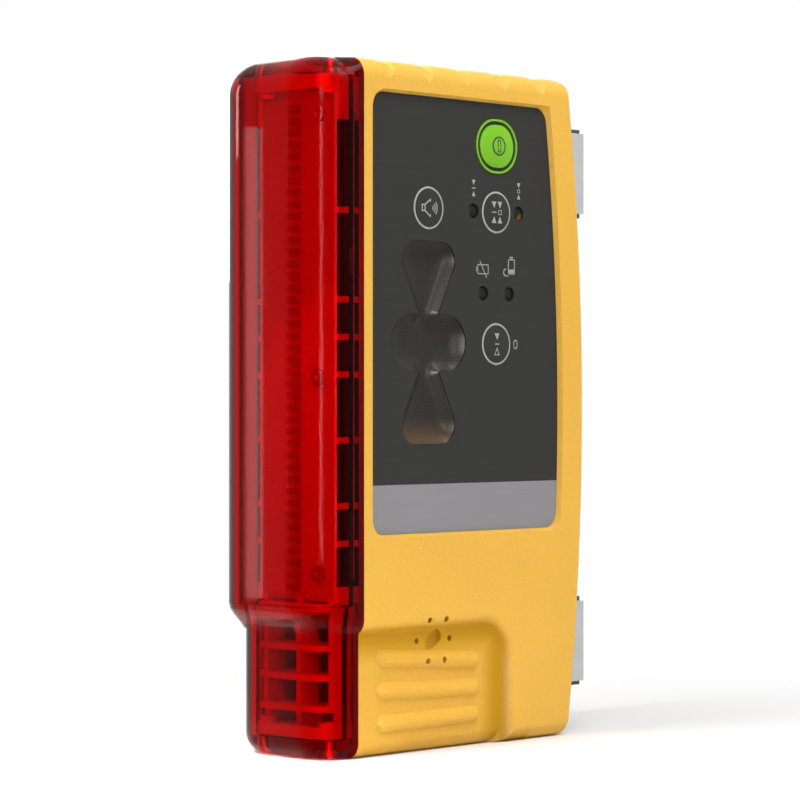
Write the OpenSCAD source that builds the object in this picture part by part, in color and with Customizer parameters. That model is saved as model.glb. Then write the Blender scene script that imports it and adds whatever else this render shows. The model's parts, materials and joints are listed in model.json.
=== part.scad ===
// Machine-mounted laser receiver: a two-shell housing with a hollow lens nose, a keypad face,
// a battery bay behind a hinged door and two channel magnets on the bowed end.
// Lengths are millimetres. +Z is up, the lens nose points to -X, the keypad faces -Y,
// and the origin is the centre of the base of the whole object.

/* [Housing] */
// Height of the housing and the lens
body_h = 180; // [174:1:190]
// Thickness from the keypad face to the rear face
body_t = 40; // [39:0.5:43]
// Length of the housing from the lens border to its widest point
body_len = 86; // [84:0.5:92]
// Radius of the bowed end that carries the magnets
bow_r = 650; // [550:10:900]
// Wall of the two shells
wall = 2.5; // [2.2:0.1:2.8]
// Fillet along the top edges
top_edge_r = 5; // [4:0.25:6]
// Fillet along the base edges
base_edge_r = 4; // [3:0.25:4.5]
// Fillet along the upright edges of the bowed end
end_edge_r = 2; // [1:0.25:3]
// Corner radius at the top of the bowed end
top_corner_r = 5.5; // [5:0.5:8]
// Corner radius at the foot of the bowed end
base_corner_r = 5.5; // [5:0.5:7]

/* [Top grooves] */
// Number of grip grooves across the top
groove_count = 5; // [3:1:5]
// Distance from the lens border to the first groove
groove_start = 9.3; // [8:0.1:12]
// Distance from groove to groove
groove_pitch = 14.7; // [12:0.1:15]
// Width of a groove at the top
groove_w = 6; // [4:0.25:8]
// Depth of a groove
groove_depth = 0.6; // [0.3:0.1:0.7]
// Depth of the notch where a groove runs over the edge
notch_depth = 1.2; // [0.6:0.1:1.5]

/* [Lens] */
// Length of the lens nose beyond the housing
lens_len = 17; // [16:0.5:20]
// Wall of the lens
lens_wall = 2.6; // [2.2:0.1:3]
// Thickness of the closed ends of the lens
lens_end_t = 5; // [4.5:0.25:6]
// Radius of the upright nose corners
lens_corner_r = 12; // [10:0.5:14]
// Fillet round the top of the nose
lens_top_r = 9; // [7:0.25:10]
// Fillet round the foot of the nose
lens_foot_r = 5.4; // [4.5:0.1:5.4]
// Setback of the nose at the foot
foot_inset = 4.7; // [3.5:0.1:5.2]
// Radius of the upright corners at the foot
foot_corner_r = 11; // [9:0.5:12]
// Height at which the step of the nose starts
foot_step_low = 32.6; // [30:0.2:33.5]
// Height at which the step of the nose ends
foot_step_high = 39.2; // [38:0.2:40]

/* [Grip recess] */
// Length of the grip recess from the lens border
grip_len = 57.5; // [54:0.5:60]
// Height of the grip recess
grip_h = 35.3; // [34:0.1:36.5]
// Depth of the grip recess
grip_depth = 2.1; // [1.6:0.1:2.4]
// Width of the rounded slope round the recess
grip_slope_w = 4.5; // [3.5:0.1:6]
// Corner radius of the recess at its rim
grip_corner_r = 12.5; // [10:0.5:15]
// Radius of the grip ribs
rib_r = 2.7; // [2:0.1:3]
// Height of the grip ribs above the recess
rib_proud = 1.3; // [0.8:0.1:1.5]

/* [Keypad] */
// Distance from the lens border to the panel recess
panel_start = 3.1; // [2.5:0.1:4.5]
// Distance from the panel recess to the bowed end
panel_end_gap = 9.3; // [8:0.1:11]
// Distance from the panel recess to the top
panel_top_gap = 7.8; // [7:0.1:9]
// Depth of the panel face below the housing face
panel_depth = 1.3; // [1:0.1:1.6]
// Thickness of the panel overlay
panel_t = 0.8; // [0.6:0.1:1]
// Corner radius of the panel recess
panel_r = 5; // [4:0.25:7]
// Height of the pale band at the foot of the panel
band_h = 13.5; // [10:0.2:16]
// Distance from the lens border to the display column
col_a = 25.1; // [24:0.1:26]
// Distance from the lens border to the key column
col_b = 51.2; // [50:0.1:52]
// Drop from the panel top to the power key
power_drop = 12.2; // [11:0.1:13]
// Drop from the power key to the upper key row
row_drop = 17.7; // [17:0.1:18.5]
// Rise from the display centre and the zero key to the battery lamps
battery_rise = 13.5; // [12.5:0.1:14.5]
// Radius of the round keys
key_r = 5.65; // [5:0.05:5.9]
// Travel of the keys
key_travel = 0.6; // [0.4:0.05:0.7]
// Radius of the status lamps
lamp_r = 1.9; // [1.5:0.05:2.2]

/* [Display] */
// Overall height of the display window
display_h = 53; // [50:0.5:54]
// Gap from the upper key row to the display
display_gap = 3.15; // [2.5:0.05:4]
// Gap from the display to the pale band
band_gap = 10.5; // [9:0.1:12]
// Width of its end lobes
lobe_w = 20; // [18:0.25:21]
// Corner radius of its end lobes
lobe_r = 5; // [4:0.25:6]
// Width of its middle bar
bar_w = 28.2; // [26:0.2:29]
// Height of its middle bar
bar_h = 14.8; // [13:0.2:15.6]
// Width of its waists
waist_w = 8; // [6:0.2:9]

/* [Receiver] */
// Width of the receiver board
sensor_w = 25; // [22:0.25:25.2]
// Height of the lower edge of the receiver board
sensor_low = 41; // [40.5:0.5:46]
// Distance from photodiode to photodiode
diode_pitch = 3.1; // [2.8:0.05:4]

/* [Battery bay] */
// Diameter of a cell
cell_d = 14.5; // [14:0.05:14.5]
// Length of a cell
cell_len = 50.5; // [49:0.1:50.5]
// Height of the lower edge of the battery tray
tray_low = 60; // [59.5:0.5:63]
// Distance from the lens border to the middle of the bay
bay_mid = 40; // [39:0.25:40.5]
// Thickness of the battery door
door_t = 3; // [2.8:0.1:3.4]

/* [Magnets] */
// Distance from each end of the housing to the middle of its magnet
magnet_end = 25.1; // [24:0.1:28]
// Reach of the magnets beyond the widest point of the housing
magnet_proud = 4; // [3:0.1:5]
// Width of a magnet channel
channel_w = 32; // [28:0.5:33]
// Length of a magnet channel
channel_len = 22.2; // [20:0.2:24]
// Reach of the ferrite bar beyond each end of its channel
ferrite_over = 1.2; // [0.8:0.1:1.5]

/* [Hidden] */
$fn = 48;
// Facets of a full circle of the bow radius
bow_fn = 720;
// Facets of the round stretches of a blended form, and of the crowns of the keys
blend_fn = 32;
crown_fn = 240;

// Overrun of the cuts, thickness of a slice, hair that keeps tangent curves apart, slices of the blends,
// running clearance, seat clearance, thread clearance
over = 1;
slice = 0.02;
hair = 0.002;
blend_slice = 0.15;
step_slices = 5;
slip = 0.1;
seat = 0.3;
thread_gap = 0.05;
least_r = 0.5;
// Spare angle at each end of the bow's sector, and how far the rim of the panel leans for its depth
bow_spare = 2;
rim_lean = 0.5;
// Tilt of the notches in the top edge
notch_tilt = 50;

// Main planes
border_x = (lens_len - body_len - magnet_proud) / 2;
nose_x = border_x - lens_len;
bow_end = border_x + body_len;
bow_cx = bow_end - bow_r;
mid_z = body_h / 2;
face_y = -body_t / 2;
rear_y = body_t / 2;
panel_y = face_y + panel_depth;
floor_y = panel_y + panel_t;
pad_y = floor_y + wall;
grip_y = face_y + grip_depth;
grip_x = border_x + grip_len;
panel_slope = rim_lean * panel_depth;
bow_span = 2 * (atan(mid_z / (bow_r - body_len)) + bow_spare);

// Lens seat: tongue inside the shells, its root in the lens, and the seal in the shell mouth
tongue_len = 2.4;
tongue_t = 1.5;
root_len = 2;
root_in = 1;
seal_w = 1.2;
tongue_in = wall + slip + tongue_t;
pad_start = tongue_len + seat;

// Parting seal
cord_in = 0.8;
cord_w = 0.9;
cord_half = 0.6;
cord_start = 3;

// Shell screws, from the rear into the front bosses
screw_r = 1.5;
head_r = 2.75;
head_h = 2.2;
socket_share = 0.5;
boss_r = 3.5;
rear_boss_r = 4.7;
screw_seat_y = 4;
screw_len = 16;
screw_wall_gap = 4.2;
bay_screw_gap = 7;
corner_screw_z = 12;

// Lens screws and receiver frame
lens_screw_x = -4;
lens_screw_y = 11;
lens_head_sink = 2.6;
lug_r = 2.5;
lug_len = 4.2;
frame_gap = 0.2;
frame_plate_t = 3;
frame_front = -8;
frame_back = 2.4;
rail_out = 14.8;
rail_t = 2;
spine_t = 2;
web_t = 1.5;
web_y = 11;
shelf_zs = [12, 20, 27.6, 38];
ladder_bar_t = 1.6;
ladder_bar_shares = [0.07, 0.15, 0.29, 0.43, 0.51, 0.59, 0.78];
ladder_margin = 6;
ladder_inset = 1;
ear_x = 10;
ear_r = 4;
ear_t = 3;
ear_up = 3.5;
frame_corner_r = 4;
frame_screw_r = 1.25;
frame_screw_len = 10;

// Receiver board
sensor_t = 1.6;
sensor_x = -4;
sensor_top_gap = 10;
sensor_screw_y = -8;
sensor_screw_shares = [0.05, 0.44, 0.965];
sensor_head_r = 2.2;
sensor_head_h = 1.5;
sensor_screw_r = 1.2;
diode_w = 4;
diode_h = 1.8;
diode_t = 1.2;
diode_y = 1.5;
diode_margin = 2.5;

// Keys and what they press
pocket_depth = 1.1;
key_proud = 0.35;
key_crown_r = 40;
stem_r = 2.5;
key_rear = 0.25;
power_r = 5.7;
power_half = 0.8;
power_crown_r = 22;
power_proud = 1.2;
bezel_w = 0.55;
bezel_gap = 1;
bezel_proud = 0.3;
bezel_sink = 0.4;
standoff_h = 3;
standoff_r = 2.2;
board_t = 1.6;
board_x0 = 16.2;
board_x1 = 66;
board_margin = 3;
board_low_gap = 9;
board_top_gap = 3.7;
fixing_r = 1;
fixing_head_r = 1.9;
fixing_head_h = 1.3;
switch_w = 6;
switch_h = 1.4;
plunger_r = 1.7;
stem_gap = 0.15;
lamp_sink = 0.15;
lamp_crown_r = 4;
precision_lamp_dx = 8.9;
battery_lamp_dx = 5.1;

// Display window and its lamps
window_sink = 0.3;
flange_w = 1.2;
flange_t = 0.8;
bowl_depth = 1.4;
lobe_bowl_r = 7.2;
lobe_bowl_in = 8.9;
bar_bowl_x = 5.8;
bowl_rim = 0.7;
waist_z = 8;
led_w = 3.2;
led_h = 2.8;
led_t = 1.2;
led_pitch = 4.6;
led_end_gap = 8.5;

// Buzzer and its sound holes
buzzer_x = 27.6;
buzzer_z = 29.1;
buzzer_r = 8;
buzzer_t = 5.4;
buzzer_ring_t = 1.2;
buzzer_ring_h = 3;
buzzer_port_r = 1.6;
buzzer_port_t = 1;
sound_r = 1.9;
sound_half = 1.4;
sound_tilt = 36;
sound_depth = 1.2;
sound_small_r = 0.8;
sound_ring_r = 6.2;
sound_count = 6;

// Grip ribs: start, end, and the heights of the two ends of each
rib_x0 = 8.8;
rib_x1 = 42.9;
rib_zs = [[25.4, 22.9], [16.9, 15.6], [8.4, 8.4]];

// Battery bay, door, hinge and coin latch
cell_count = 4;
cell_gap = 0.4;
contact_room = 2;
tray_wall = 1.5;
nub_r = 2.75;
nub_h = 1.2;
contact_w = 9;
contact_t = 0.5;
contact_button_r = 2.4;
contact_spring_r = 4;
door_side = 4;
door_foot = 13;
door_head = 5;
door_r = 4;
door_seal_t = 0.7;
door_seal_w = 1.5;
seal_touch = 0.1;
bay_frame = 3;
hinge_pin_r = 0.7;
hinge_slip = 0.07;
hinge_pin_grip = 2.6;
hinge_room = 0.8;
latch_up = 6.5;
latch_head_r = 5.5;
latch_head_t = 1.4;
latch_sink = 0.2;
latch_shank_r = 1.75;
latch_bar_w = 9;
latch_bar_h = 2.6;
latch_bar_t = 2.2;
latch_slot_end = 0.8;
latch_slot_side = 0.75;
coin_w = 1.6;
coin_depth = 0.9;

// Magnets
seat_sink = 0.5;
channel_t = 1.5;
magnet_screw_y = 8;
magnet_screw_len = 10;
magnet_boss_r = 3.2;
magnet_hole_r = 3.2;

// Height that the keypad is laid out for, and how far the real height stretches it
plan_h = 180;
stretch = body_h / plan_h;

// Worked-out places, with the keypad set out from its top down
display_half = stretch * display_h / 2;
lobe_led_z = display_half - led_end_gap;
panel_top = body_h - panel_top_gap;
power_z = panel_top - stretch * power_drop;
upper_z = power_z - stretch * row_drop;
zero_z = upper_z - key_r - display_gap - display_half;
battery_z = zero_z + stretch * battery_rise;
band_top = zero_z - display_half - band_gap;
panel_low = band_top - band_h;
inner_screw_x = col_a - lobe_w / 2 - flange_w - seat - boss_r;
key_spots = [[col_a, upper_z], [col_b, upper_z], [col_b, zero_z]];
lamp_spots = [[col_b - precision_lamp_dx, upper_z], [col_b + precision_lamp_dx, upper_z],
    [col_b - battery_lamp_dx, battery_z], [col_b + battery_lamp_dx, battery_z]];
board_y = pad_y + standoff_h;
board_low = zero_z - display_half - board_low_gap;
board_top = panel_top - board_top_gap;
board_spots = [for (x = [board_x0 + board_margin, board_x1 - board_margin],
    z = [board_low + board_margin, board_top - board_margin]) [x, z]];
stem_end_y = board_y - switch_h - key_travel - stem_gap;
sensor_top = body_h - sensor_top_gap;
sensor_h = sensor_top - sensor_low;
diode_count = floor((sensor_h - 2 * diode_margin) / diode_pitch) + 1;
frame_top = body_h - lens_end_t - frame_gap;
frame_low = lens_end_t + frame_gap;
ear_zs = [frame_low + ear_up, frame_top - ear_up];
bay_w = cell_count * cell_d + (cell_count + 1) * cell_gap;
bay_h = cell_len + 2 * contact_room;
bay_x0 = border_x + bay_mid - bay_w / 2;
bay_x1 = border_x + bay_mid + bay_w / 2;
bay_z0 = tray_low + tray_wall;
bay_z1 = bay_z0 + bay_h;
door_x0 = bay_x0 - door_side;
door_x1 = bay_x1 + door_side;
door_z0 = bay_z0 - door_foot;
door_z1 = bay_z1 + door_head;
door_y = rear_y - door_t;
ledge_y = door_y - door_seal_t - seal_touch;
bay_pad_y = ledge_y - wall;
hinge_y = rear_y - door_t / 2;
hinge_z = door_z1 - door_t / 2;
latch_x = border_x + bay_mid;
latch_z = door_z0 + latch_up;
cell_y = door_y - seat - cell_d / 2;
tray_floor_y = cell_y - cell_d / 2 - slip;
magnet_x = bow_end + magnet_proud;
magnet_zs = [magnet_end, body_h - magnet_end];
ferrite_len = channel_len + 2 * ferrite_over;
seat_x = bow_x(magnet_end - ferrite_len / 2) - seat_sink;
corner_screw_x = bow_x(corner_screw_z, wall + screw_wall_gap) - border_x;
side_screw_x = bow_x(mid_z, wall + screw_wall_gap) - border_x;
shell_screw_spots = [[corner_screw_x, corner_screw_z], [corner_screw_x, body_h - corner_screw_z],
    [side_screw_x, mid_z], [inner_screw_x, door_z1 + bay_screw_gap],
    [inner_screw_x, door_z0 - bay_screw_gap]];
slope_lean = 2 * atan(grip_depth / grip_slope_w);
slope_r = grip_slope_w / (2 * sin(slope_lean));

// X of the bowed end at height z, set back by inset
function bow_x(z, inset = 0) = bow_cx + sqrt(pow(bow_r - inset, 2) - pow(z - mid_z, 2));
// Radius of a rounding that is set back by inset
function fit_r(r, inset) = max(r - inset, least_r);
// Place measured from the lens border
function from_border(d) = border_x + d;
// Soft step from 0 to 1
function soft_step(t) = (1 - cos(180 * min(max(t, 0), 1))) / 2;
// Point where the line from point p touches the circle of radius r about c, on its +X side
function touch_point(c, r, p) =
    let (d = norm(p - c), u = (p - c) / d, v = [-u[1], u[0]], k = r / d)
    c + r * (k * u + sqrt(1 - k * k) * v);

// Outline in X and Z, drawn out along Y
module slab(y0, y1) {
    translate([0, y1, 0]) rotate([90, 0, 0]) linear_extrude(y1 - y0) children();
}

// Outline in Y and Z, drawn out along X
module rail(x0, x1) {
    translate([x0, 0, 0]) rotate([90, 0, 90]) linear_extrude(x1 - x0) children();
}

// Outline in X and Y, drawn out along Z
module tower(z0, z1) {
    translate([0, 0, z0]) linear_extrude(z1 - z0) children();
}

module pin_x(y, z, x0, x1, r) {
    translate([x0, y, z]) rotate([0, 90, 0]) cylinder(h = x1 - x0, r = r);
}

module pin_y(x, z, y0, y1, r) {
    translate([x, y1, z]) rotate([90, 0, 0]) cylinder(h = y1 - y0, r = r);
}

module pin_z(x, y, z0, z1, r) {
    translate([x, y, z0]) cylinder(h = z1 - z0, r = r);
}

module block(x0, x1, y0, y1, z0, z1) {
    translate([x0, y0, z0]) cube([x1 - x0, y1 - y0, z1 - z0]);
}

module both_sides() {
    children();
    mirror([0, 1, 0]) children();
}

// What a corner at the origin loses when it is rounded
module corner_cut(r) {
    difference() {
        translate([-over, -over]) square(r + over);
        translate([r, r]) circle(r);
    }
}

module round_rect(x0, x1, z0, z1, r) {
    difference() {
        translate([x0, z0]) square([x1 - x0, z1 - z0]);
        for (i = [0, 1], j = [0, 1])
            translate([i == 0 ? x0 : x1, j == 0 ? z0 : z1]) mirror([i, 0]) mirror([0, j]) corner_cut(r);
    }
}

// Corner between a level edge and the bow
module bow_corner(z_edge, side, gap, r) {
    zc = z_edge - side * r;
    xc = bow_x(zc, gap + r);
    lean = asin(side * (zc - mid_z) / (bow_r - gap - r));
    reach = 3 * r;
    translate([xc, zc]) mirror([0, side < 0 ? 1 : 0]) difference() {
        polygon([[0, 0], [reach * cos(lean), reach * sin(lean)], [reach, reach], [0, reach]]);
        circle(r + hair);
    }
}

// Plate from x0 to the bow, which is set back by gap, with rounded corners at the bow
module bowed_plate(x0, z0, z1, gap, r0, r1) {
    difference() {
        intersection() {
            translate([x0, z0]) square([bow_end - x0, z1 - z0]);
            translate([bow_cx, mid_z]) circle(bow_r - gap, $fn = bow_fn);
        }
        bow_corner(z1, 1, gap, r1);
        bow_corner(z0, -1, gap, r0);
    }
}

// Cross-section outline of the housing in Y and Z
module edge_outline(inset) {
    half = body_t / 2 - inset;
    difference() {
        translate([-half, inset]) square([2 * half, body_h - 2 * inset]);
        for (i = [0, 1]) {
            translate([i == 0 ? -half : half, inset]) mirror([i, 0]) corner_cut(fit_r(base_edge_r, inset));
            translate([i == 0 ? -half : half, body_h - inset]) mirror([i, 0]) mirror([0, 1])
                corner_cut(fit_r(top_edge_r, inset));
        }
    }
}

// The same outline at the lens border, narrower at the grip recess
module mouth_outline(inset) {
    grip_half = body_t / 2 - grip_depth - inset;
    difference() {
        edge_outline(inset);
        for (i = [0, 1])
            mirror([i, 0]) translate([grip_half, -over]) square([body_t, grip_h + inset + over]);
    }
}

// Sector whose outer rim is the bow with its filleted edges
module bow_band() {
    band = body_len + over;
    translate([bow_cx, 0, mid_z]) rotate([90, 0, 0]) rotate([0, 0, -bow_span / 2])
        rotate_extrude(angle = bow_span, $fn = bow_fn) difference() {
            translate([bow_r - band, face_y]) square([band, body_t]);
            for (j = [0, 1])
                translate([bow_r, j == 0 ? face_y : rear_y]) mirror([1, 0]) mirror([0, j])
                    corner_cut(end_edge_r);
        }
}

// What the bowed end loses at a corner of radius r: all outside a round disc with filleted rims
module bow_corner_loss(z_edge, side, r) {
    zc = z_edge - side * r;
    lean = asin(side * (zc - mid_z) / (bow_r - r));
    reach = 3 * r;
    translate([bow_x(zc, r), 0, zc]) mirror([0, 0, side < 0 ? 1 : 0]) difference() {
        slab(face_y - over, rear_y + over)
            polygon([[0, 0], [reach * cos(lean), reach * sin(lean)], [reach, reach], [0, reach]]);
        rotate([90, 0, 0]) rotate_extrude() difference() {
            translate([0, face_y]) square([r + hair, body_t]);
            for (j = [0, 1])
                translate([r + hair, j == 0 ? face_y : rear_y]) mirror([1, 0]) mirror([0, j])
                    corner_cut(end_edge_r);
        }
    }
}

module housing_form() {
    difference() {
        intersection() {
            rail(border_x, bow_end + over) edge_outline(0);
            bow_band();
            block(border_x, bow_end + over, face_y, rear_y, 0, body_h);
        }
        bow_corner_loss(body_h, 1, top_corner_r);
        bow_corner_loss(0, -1, base_corner_r);
    }
}

module housing_cavity() {
    intersection() {
        slab(face_y + wall, rear_y - wall)
            bowed_plate(border_x - over, wall, body_h - wall, wall,
                fit_r(base_corner_r, wall), fit_r(top_corner_r, wall));
        rail(border_x - over, bow_end) edge_outline(wall);
    }
}

// Rounded slope at the rim of the grip recess: x is the way in from the rim, y the depth
module grip_profile() {
    difference() {
        union() {
            polygon([[0, -over], [grip_slope_w, -over], [grip_slope_w, grip_depth], [0, 0]]);
            intersection() {
                translate([grip_slope_w, grip_depth - slope_r]) circle(slope_r);
                translate([0, -over]) square([grip_slope_w, grip_depth + 2 * over]);
            }
        }
        translate([0, slope_r]) circle(slope_r);
    }
}

module grip_cut() {
    turn_x = grip_x - grip_corner_r;
    turn_z = grip_h - grip_corner_r;
    start_x = border_x - over;
    rail(start_x, turn_x) translate([face_y, grip_h]) rotate(-90) grip_profile();
    tower(-over, turn_z) translate([grip_x, face_y]) mirror([1, 0]) grip_profile();
    translate([turn_x, face_y, turn_z]) rotate([-90, 0, 0]) rotate([0, 0, -90])
        rotate_extrude(angle = 90) {
            translate([grip_corner_r, 0]) mirror([1, 0]) grip_profile();
            translate([0, -over]) square([grip_corner_r - grip_slope_w, grip_depth + over]);
        }
    block(start_x, grip_x - grip_slope_w, face_y - over, grip_y, -over, turn_z);
    block(start_x, turn_x, face_y - over, grip_y, turn_z - over, grip_h - grip_slope_w);
    foot_x = grip_x - grip_slope_w;
    mitre = base_edge_r + over;
    intersection() {
        rail(start_x, foot_x) translate([grip_y, 0]) corner_cut(base_edge_r);
        tower(-over, mitre) polygon([[start_x - over, grip_y - over], [foot_x + over, grip_y - over],
            [foot_x - mitre, grip_y + mitre], [start_x - over, grip_y + mitre]]);
    }
}

module grip_pad() {
    slab(face_y, grip_y + wall) difference() {
        translate([border_x, 0]) square([grip_len + wall, grip_h + wall]);
        translate([grip_x + wall, grip_h + wall]) rotate(180) corner_cut(grip_corner_r + wall);
    }
}

module grip_ribs() {
    rib_y = grip_y + rib_r - rib_proud;
    intersection() {
        for (z = rib_zs) {
            run = rib_x1 - rib_x0;
            rise = z[1] - z[0];
            length = norm([run, rise]);
            translate([from_border(rib_x0), rib_y, z[0]]) rotate([0, -atan2(rise, run), 0]) {
                sphere(rib_r);
                rotate([0, 90, 0]) cylinder(h = length, r = rib_r);
                translate([length, 0, 0]) sphere(rib_r);
            }
        }
        block(border_x, grip_x, face_y, grip_y + wall / 2, 0, grip_h);
    }
}

module panel_outline(inset) {
    x0 = from_border(panel_start + inset);
    z0 = panel_low + inset;
    z1 = panel_top - inset;
    r = fit_r(panel_r, inset);
    difference() {
        bowed_plate(x0, z0, z1, panel_end_gap + inset, r, r);
        translate([x0, z0]) corner_cut(r);
        translate([x0, z1]) mirror([0, 1]) corner_cut(r);
    }
}

// Cone about a Y axis that narrows with depth as the rim of the panel leans
module face_cone(x, z, r) {
    translate([x, face_y - over, z]) rotate([-90, 0, 0])
        cylinder(h = panel_depth + 2 * over, r1 = r + rim_lean * over,
            r2 = r - rim_lean * (panel_depth + over));
}

// Recess with leaning walls down to the panel, then straight down to the floor of the overlay
module panel_recess() {
    x0 = from_border(panel_start);
    corner_x = x0 + panel_r;
    difference() {
        intersection() {
            tower(0, body_h) polygon([[x0 - rim_lean * over, face_y - over], [x0 + panel_slope, panel_y],
                [bow_end, panel_y], [bow_end, face_y - over]]);
            rail(border_x, bow_end) polygon([[face_y - over, panel_low - rim_lean * over],
                [panel_y, panel_low + panel_slope], [panel_y, panel_top - panel_slope],
                [face_y - over, panel_top + rim_lean * over]]);
            face_cone(bow_cx, mid_z, bow_r - panel_end_gap, $fn = bow_fn);
        }
        for (side = [-1, 1]) {
            corner_z = side < 0 ? panel_low + panel_r : panel_top - panel_r;
            bow_corner_x = bow_x(corner_z, panel_end_gap + panel_r);
            lean = asin(side * (corner_z - mid_z) / (bow_r - panel_end_gap - panel_r));
            reach = 3 * panel_r;
            difference() {
                slab(face_y - over, panel_y + over) translate([corner_x, corner_z])
                    mirror([0, side < 0 ? 1 : 0])
                        translate([-reach, 0]) square(reach);
                face_cone(corner_x, corner_z, panel_r);
            }
            difference() {
                slab(face_y - over, panel_y + over) translate([bow_corner_x, corner_z])
                    mirror([0, side < 0 ? 1 : 0])
                        polygon([[0, 0], [reach * cos(lean), reach * sin(lean)], [reach, reach], [0, reach]]);
                face_cone(bow_corner_x, corner_z, panel_r);
            }
        }
    }
    slab(panel_y - slice, floor_y) panel_outline(panel_slope + slice);
}

module panel_pad() {
    slab(face_y, pad_y) bowed_plate(from_border(pad_start), panel_low - wall, panel_top + wall,
        panel_end_gap - wall, panel_r + wall, panel_r + wall);
}

// Hourglass outline of the display, grown by g
module display_outline(g) {
    lobe_x = lobe_w / 2 - lobe_r;
    lobe_z = display_half - lobe_r;
    waist = waist_w / 2 + g;
    touch = touch_point([lobe_x, lobe_z], lobe_r + g - slice, [waist, waist_z]);
    translate([from_border(col_a), zero_z]) {
        for (side = [0, 1]) mirror([0, side]) {
            for (i = [0, 1])
                mirror([i, 0]) translate([lobe_x, lobe_z]) circle(lobe_r + g);
            polygon([[-waist, 0], [waist, 0], [waist, waist_z], touch, [lobe_x, lobe_z + lobe_r + g],
                [-lobe_x, lobe_z + lobe_r + g], [-touch[0], touch[1]], [-waist, waist_z]]);
        }
        for (i = [0, 1])
            mirror([i, 0]) translate([(bar_w - bar_h) / 2, 0]) circle(bar_h / 2 + g);
        square([bar_w - bar_h, bar_h + 2 * g], center = true);
    }
}

// Wide round outline of the power key, of radius r
module power_outline(r) {
    translate([from_border(col_b), power_z]) {
        for (i = [0, 1])
            mirror([i, 0]) translate([power_half, 0]) intersection() {
                circle(r);
                translate([0, -r]) square([r, 2 * r]);
            }
        square([2 * power_half, 2 * r], center = true);
    }
}

// Ring round the power key, grown by g on both sides
module bezel_ring(y0, y1, g) {
    difference() {
        slab(y0, y1) power_outline(power_r + bezel_gap + bezel_w + g);
        slab(y0 - over, y1 + over) power_outline(power_r + bezel_gap - g);
    }
}

// Groove across the top, with a notch in the rounded edge at each end of it
module top_groove() {
    slab(face_y - over, rear_y + over) translate([0, body_h])
        polygon([[-groove_w / 2, 0], [-groove_w / 2 + groove_depth, -groove_depth],
            [groove_w / 2 - groove_depth * 2, -groove_depth], [groove_w / 2, 0],
            [groove_w / 2, over], [-groove_w / 2, over]]);
    notch_half = (groove_w - 2 * groove_depth) / 2 * (1 + over / notch_depth);
    for (side = [-1, 1])
        translate([0, side * (body_t / 2 - top_edge_r), body_h - top_edge_r]) rotate([-side * notch_tilt, 0, 0])
            slab(-top_edge_r, top_edge_r) polygon([[0, top_edge_r - notch_depth],
                [notch_half, top_edge_r + over], [-notch_half, top_edge_r + over]]);
}

module top_grooves() {
    for (i = [0 : groove_count - 1])
        translate([from_border(groove_start + i * groove_pitch), 0, 0]) top_groove();
}

module seal_cord(y0, y1) {
    slab(y0, y1) difference() {
        bowed_plate(from_border(cord_start), cord_in, body_h - cord_in, cord_in,
            fit_r(base_corner_r, cord_in), fit_r(top_corner_r, cord_in));
        bowed_plate(border_x, cord_in + cord_w, body_h - cord_in - cord_w, cord_in + cord_w,
            fit_r(base_corner_r, cord_in + cord_w), fit_r(top_corner_r, cord_in + cord_w));
    }
}

// Flat seats for the magnets and the bosses of their screws, which are kept solid in the cavity
module magnet_pads() {
    half_y = channel_w / 2 + wall;
    half_z = ferrite_len / 2 + wall;
    for (z = magnet_zs) {
        block(seat_x - wall, bow_end, -half_y, half_y, z - half_z, z + half_z);
        for (y = [-magnet_screw_y, magnet_screw_y])
            pin_x(y, z, seat_x - magnet_screw_len - over, seat_x, magnet_boss_r);
    }
}

module magnet_seats() {
    half_y = channel_w / 2 + slip;
    half_z = ferrite_len / 2 + slip;
    for (z = magnet_zs)
        block(seat_x, bow_end + over, -half_y, half_y, z - half_z, z + half_z);
}

// What both shells lose: grip recess, top grooves, parting seal, lens seal and magnet seats
module shared_cuts() {
    top_grooves();
    seal_cord(-cord_half, cord_half);
    rail(border_x - over, from_border(seal_w)) mouth_outline(wall - seal_w);
    magnet_seats();
    for (z = magnet_zs, y = [-magnet_screw_y, magnet_screw_y])
        pin_x(y, z, seat_x - magnet_screw_len, seat_x + over, screw_r + thread_gap);
}

module front_cuts() {
    panel_recess();
    grip_cut();
    for (k = key_spots) {
        pin_y(from_border(k[0]), k[1], panel_y - over, floor_y + pocket_depth, key_r + slip);
        pin_y(from_border(k[0]), k[1], floor_y, pad_y + over, stem_r + slip);
    }
    slab(panel_y - over, floor_y + pocket_depth) power_outline(power_r + slip);
    pin_y(from_border(col_b), power_z, floor_y, pad_y + over, stem_r + slip);
    for (s = lamp_spots)
        pin_y(from_border(s[0]), s[1], floor_y - over, pad_y + over, lamp_r + slip);
    slab(floor_y - over, pad_y + over) display_outline(slip);
    for (s = shell_screw_spots)
        pin_y(from_border(s[0]), s[1], screw_seat_y - screw_len - over, over, screw_r + thread_gap);
    for (z = ear_zs)
        pin_y(from_border(ear_x), z, -ear_t - frame_screw_len, over, frame_screw_r + thread_gap);
    for (s = board_spots)
        pin_y(from_border(s[0]), s[1], pad_y - wall / 2, board_y + over, fixing_r + thread_gap);
}

// Slanted dimple and a ring of through holes in front of the buzzer
module sound_holes() {
    translate([from_border(buzzer_x), 0, buzzer_z]) {
        slab(face_y - over, grip_y + sound_depth) rotate(sound_tilt) {
            for (i = [0, 1])
                mirror([i, 0]) translate([sound_half, 0]) circle(sound_r);
            square([2 * sound_half, 2 * sound_r], center = true);
        }
        for (i = [0 : sound_count - 1])
            pin_y(sound_ring_r * cos(i * 360 / sound_count), sound_ring_r * sin(i * 360 / sound_count),
                face_y - over, grip_y + wall + over, sound_small_r);
    }
}

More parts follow.
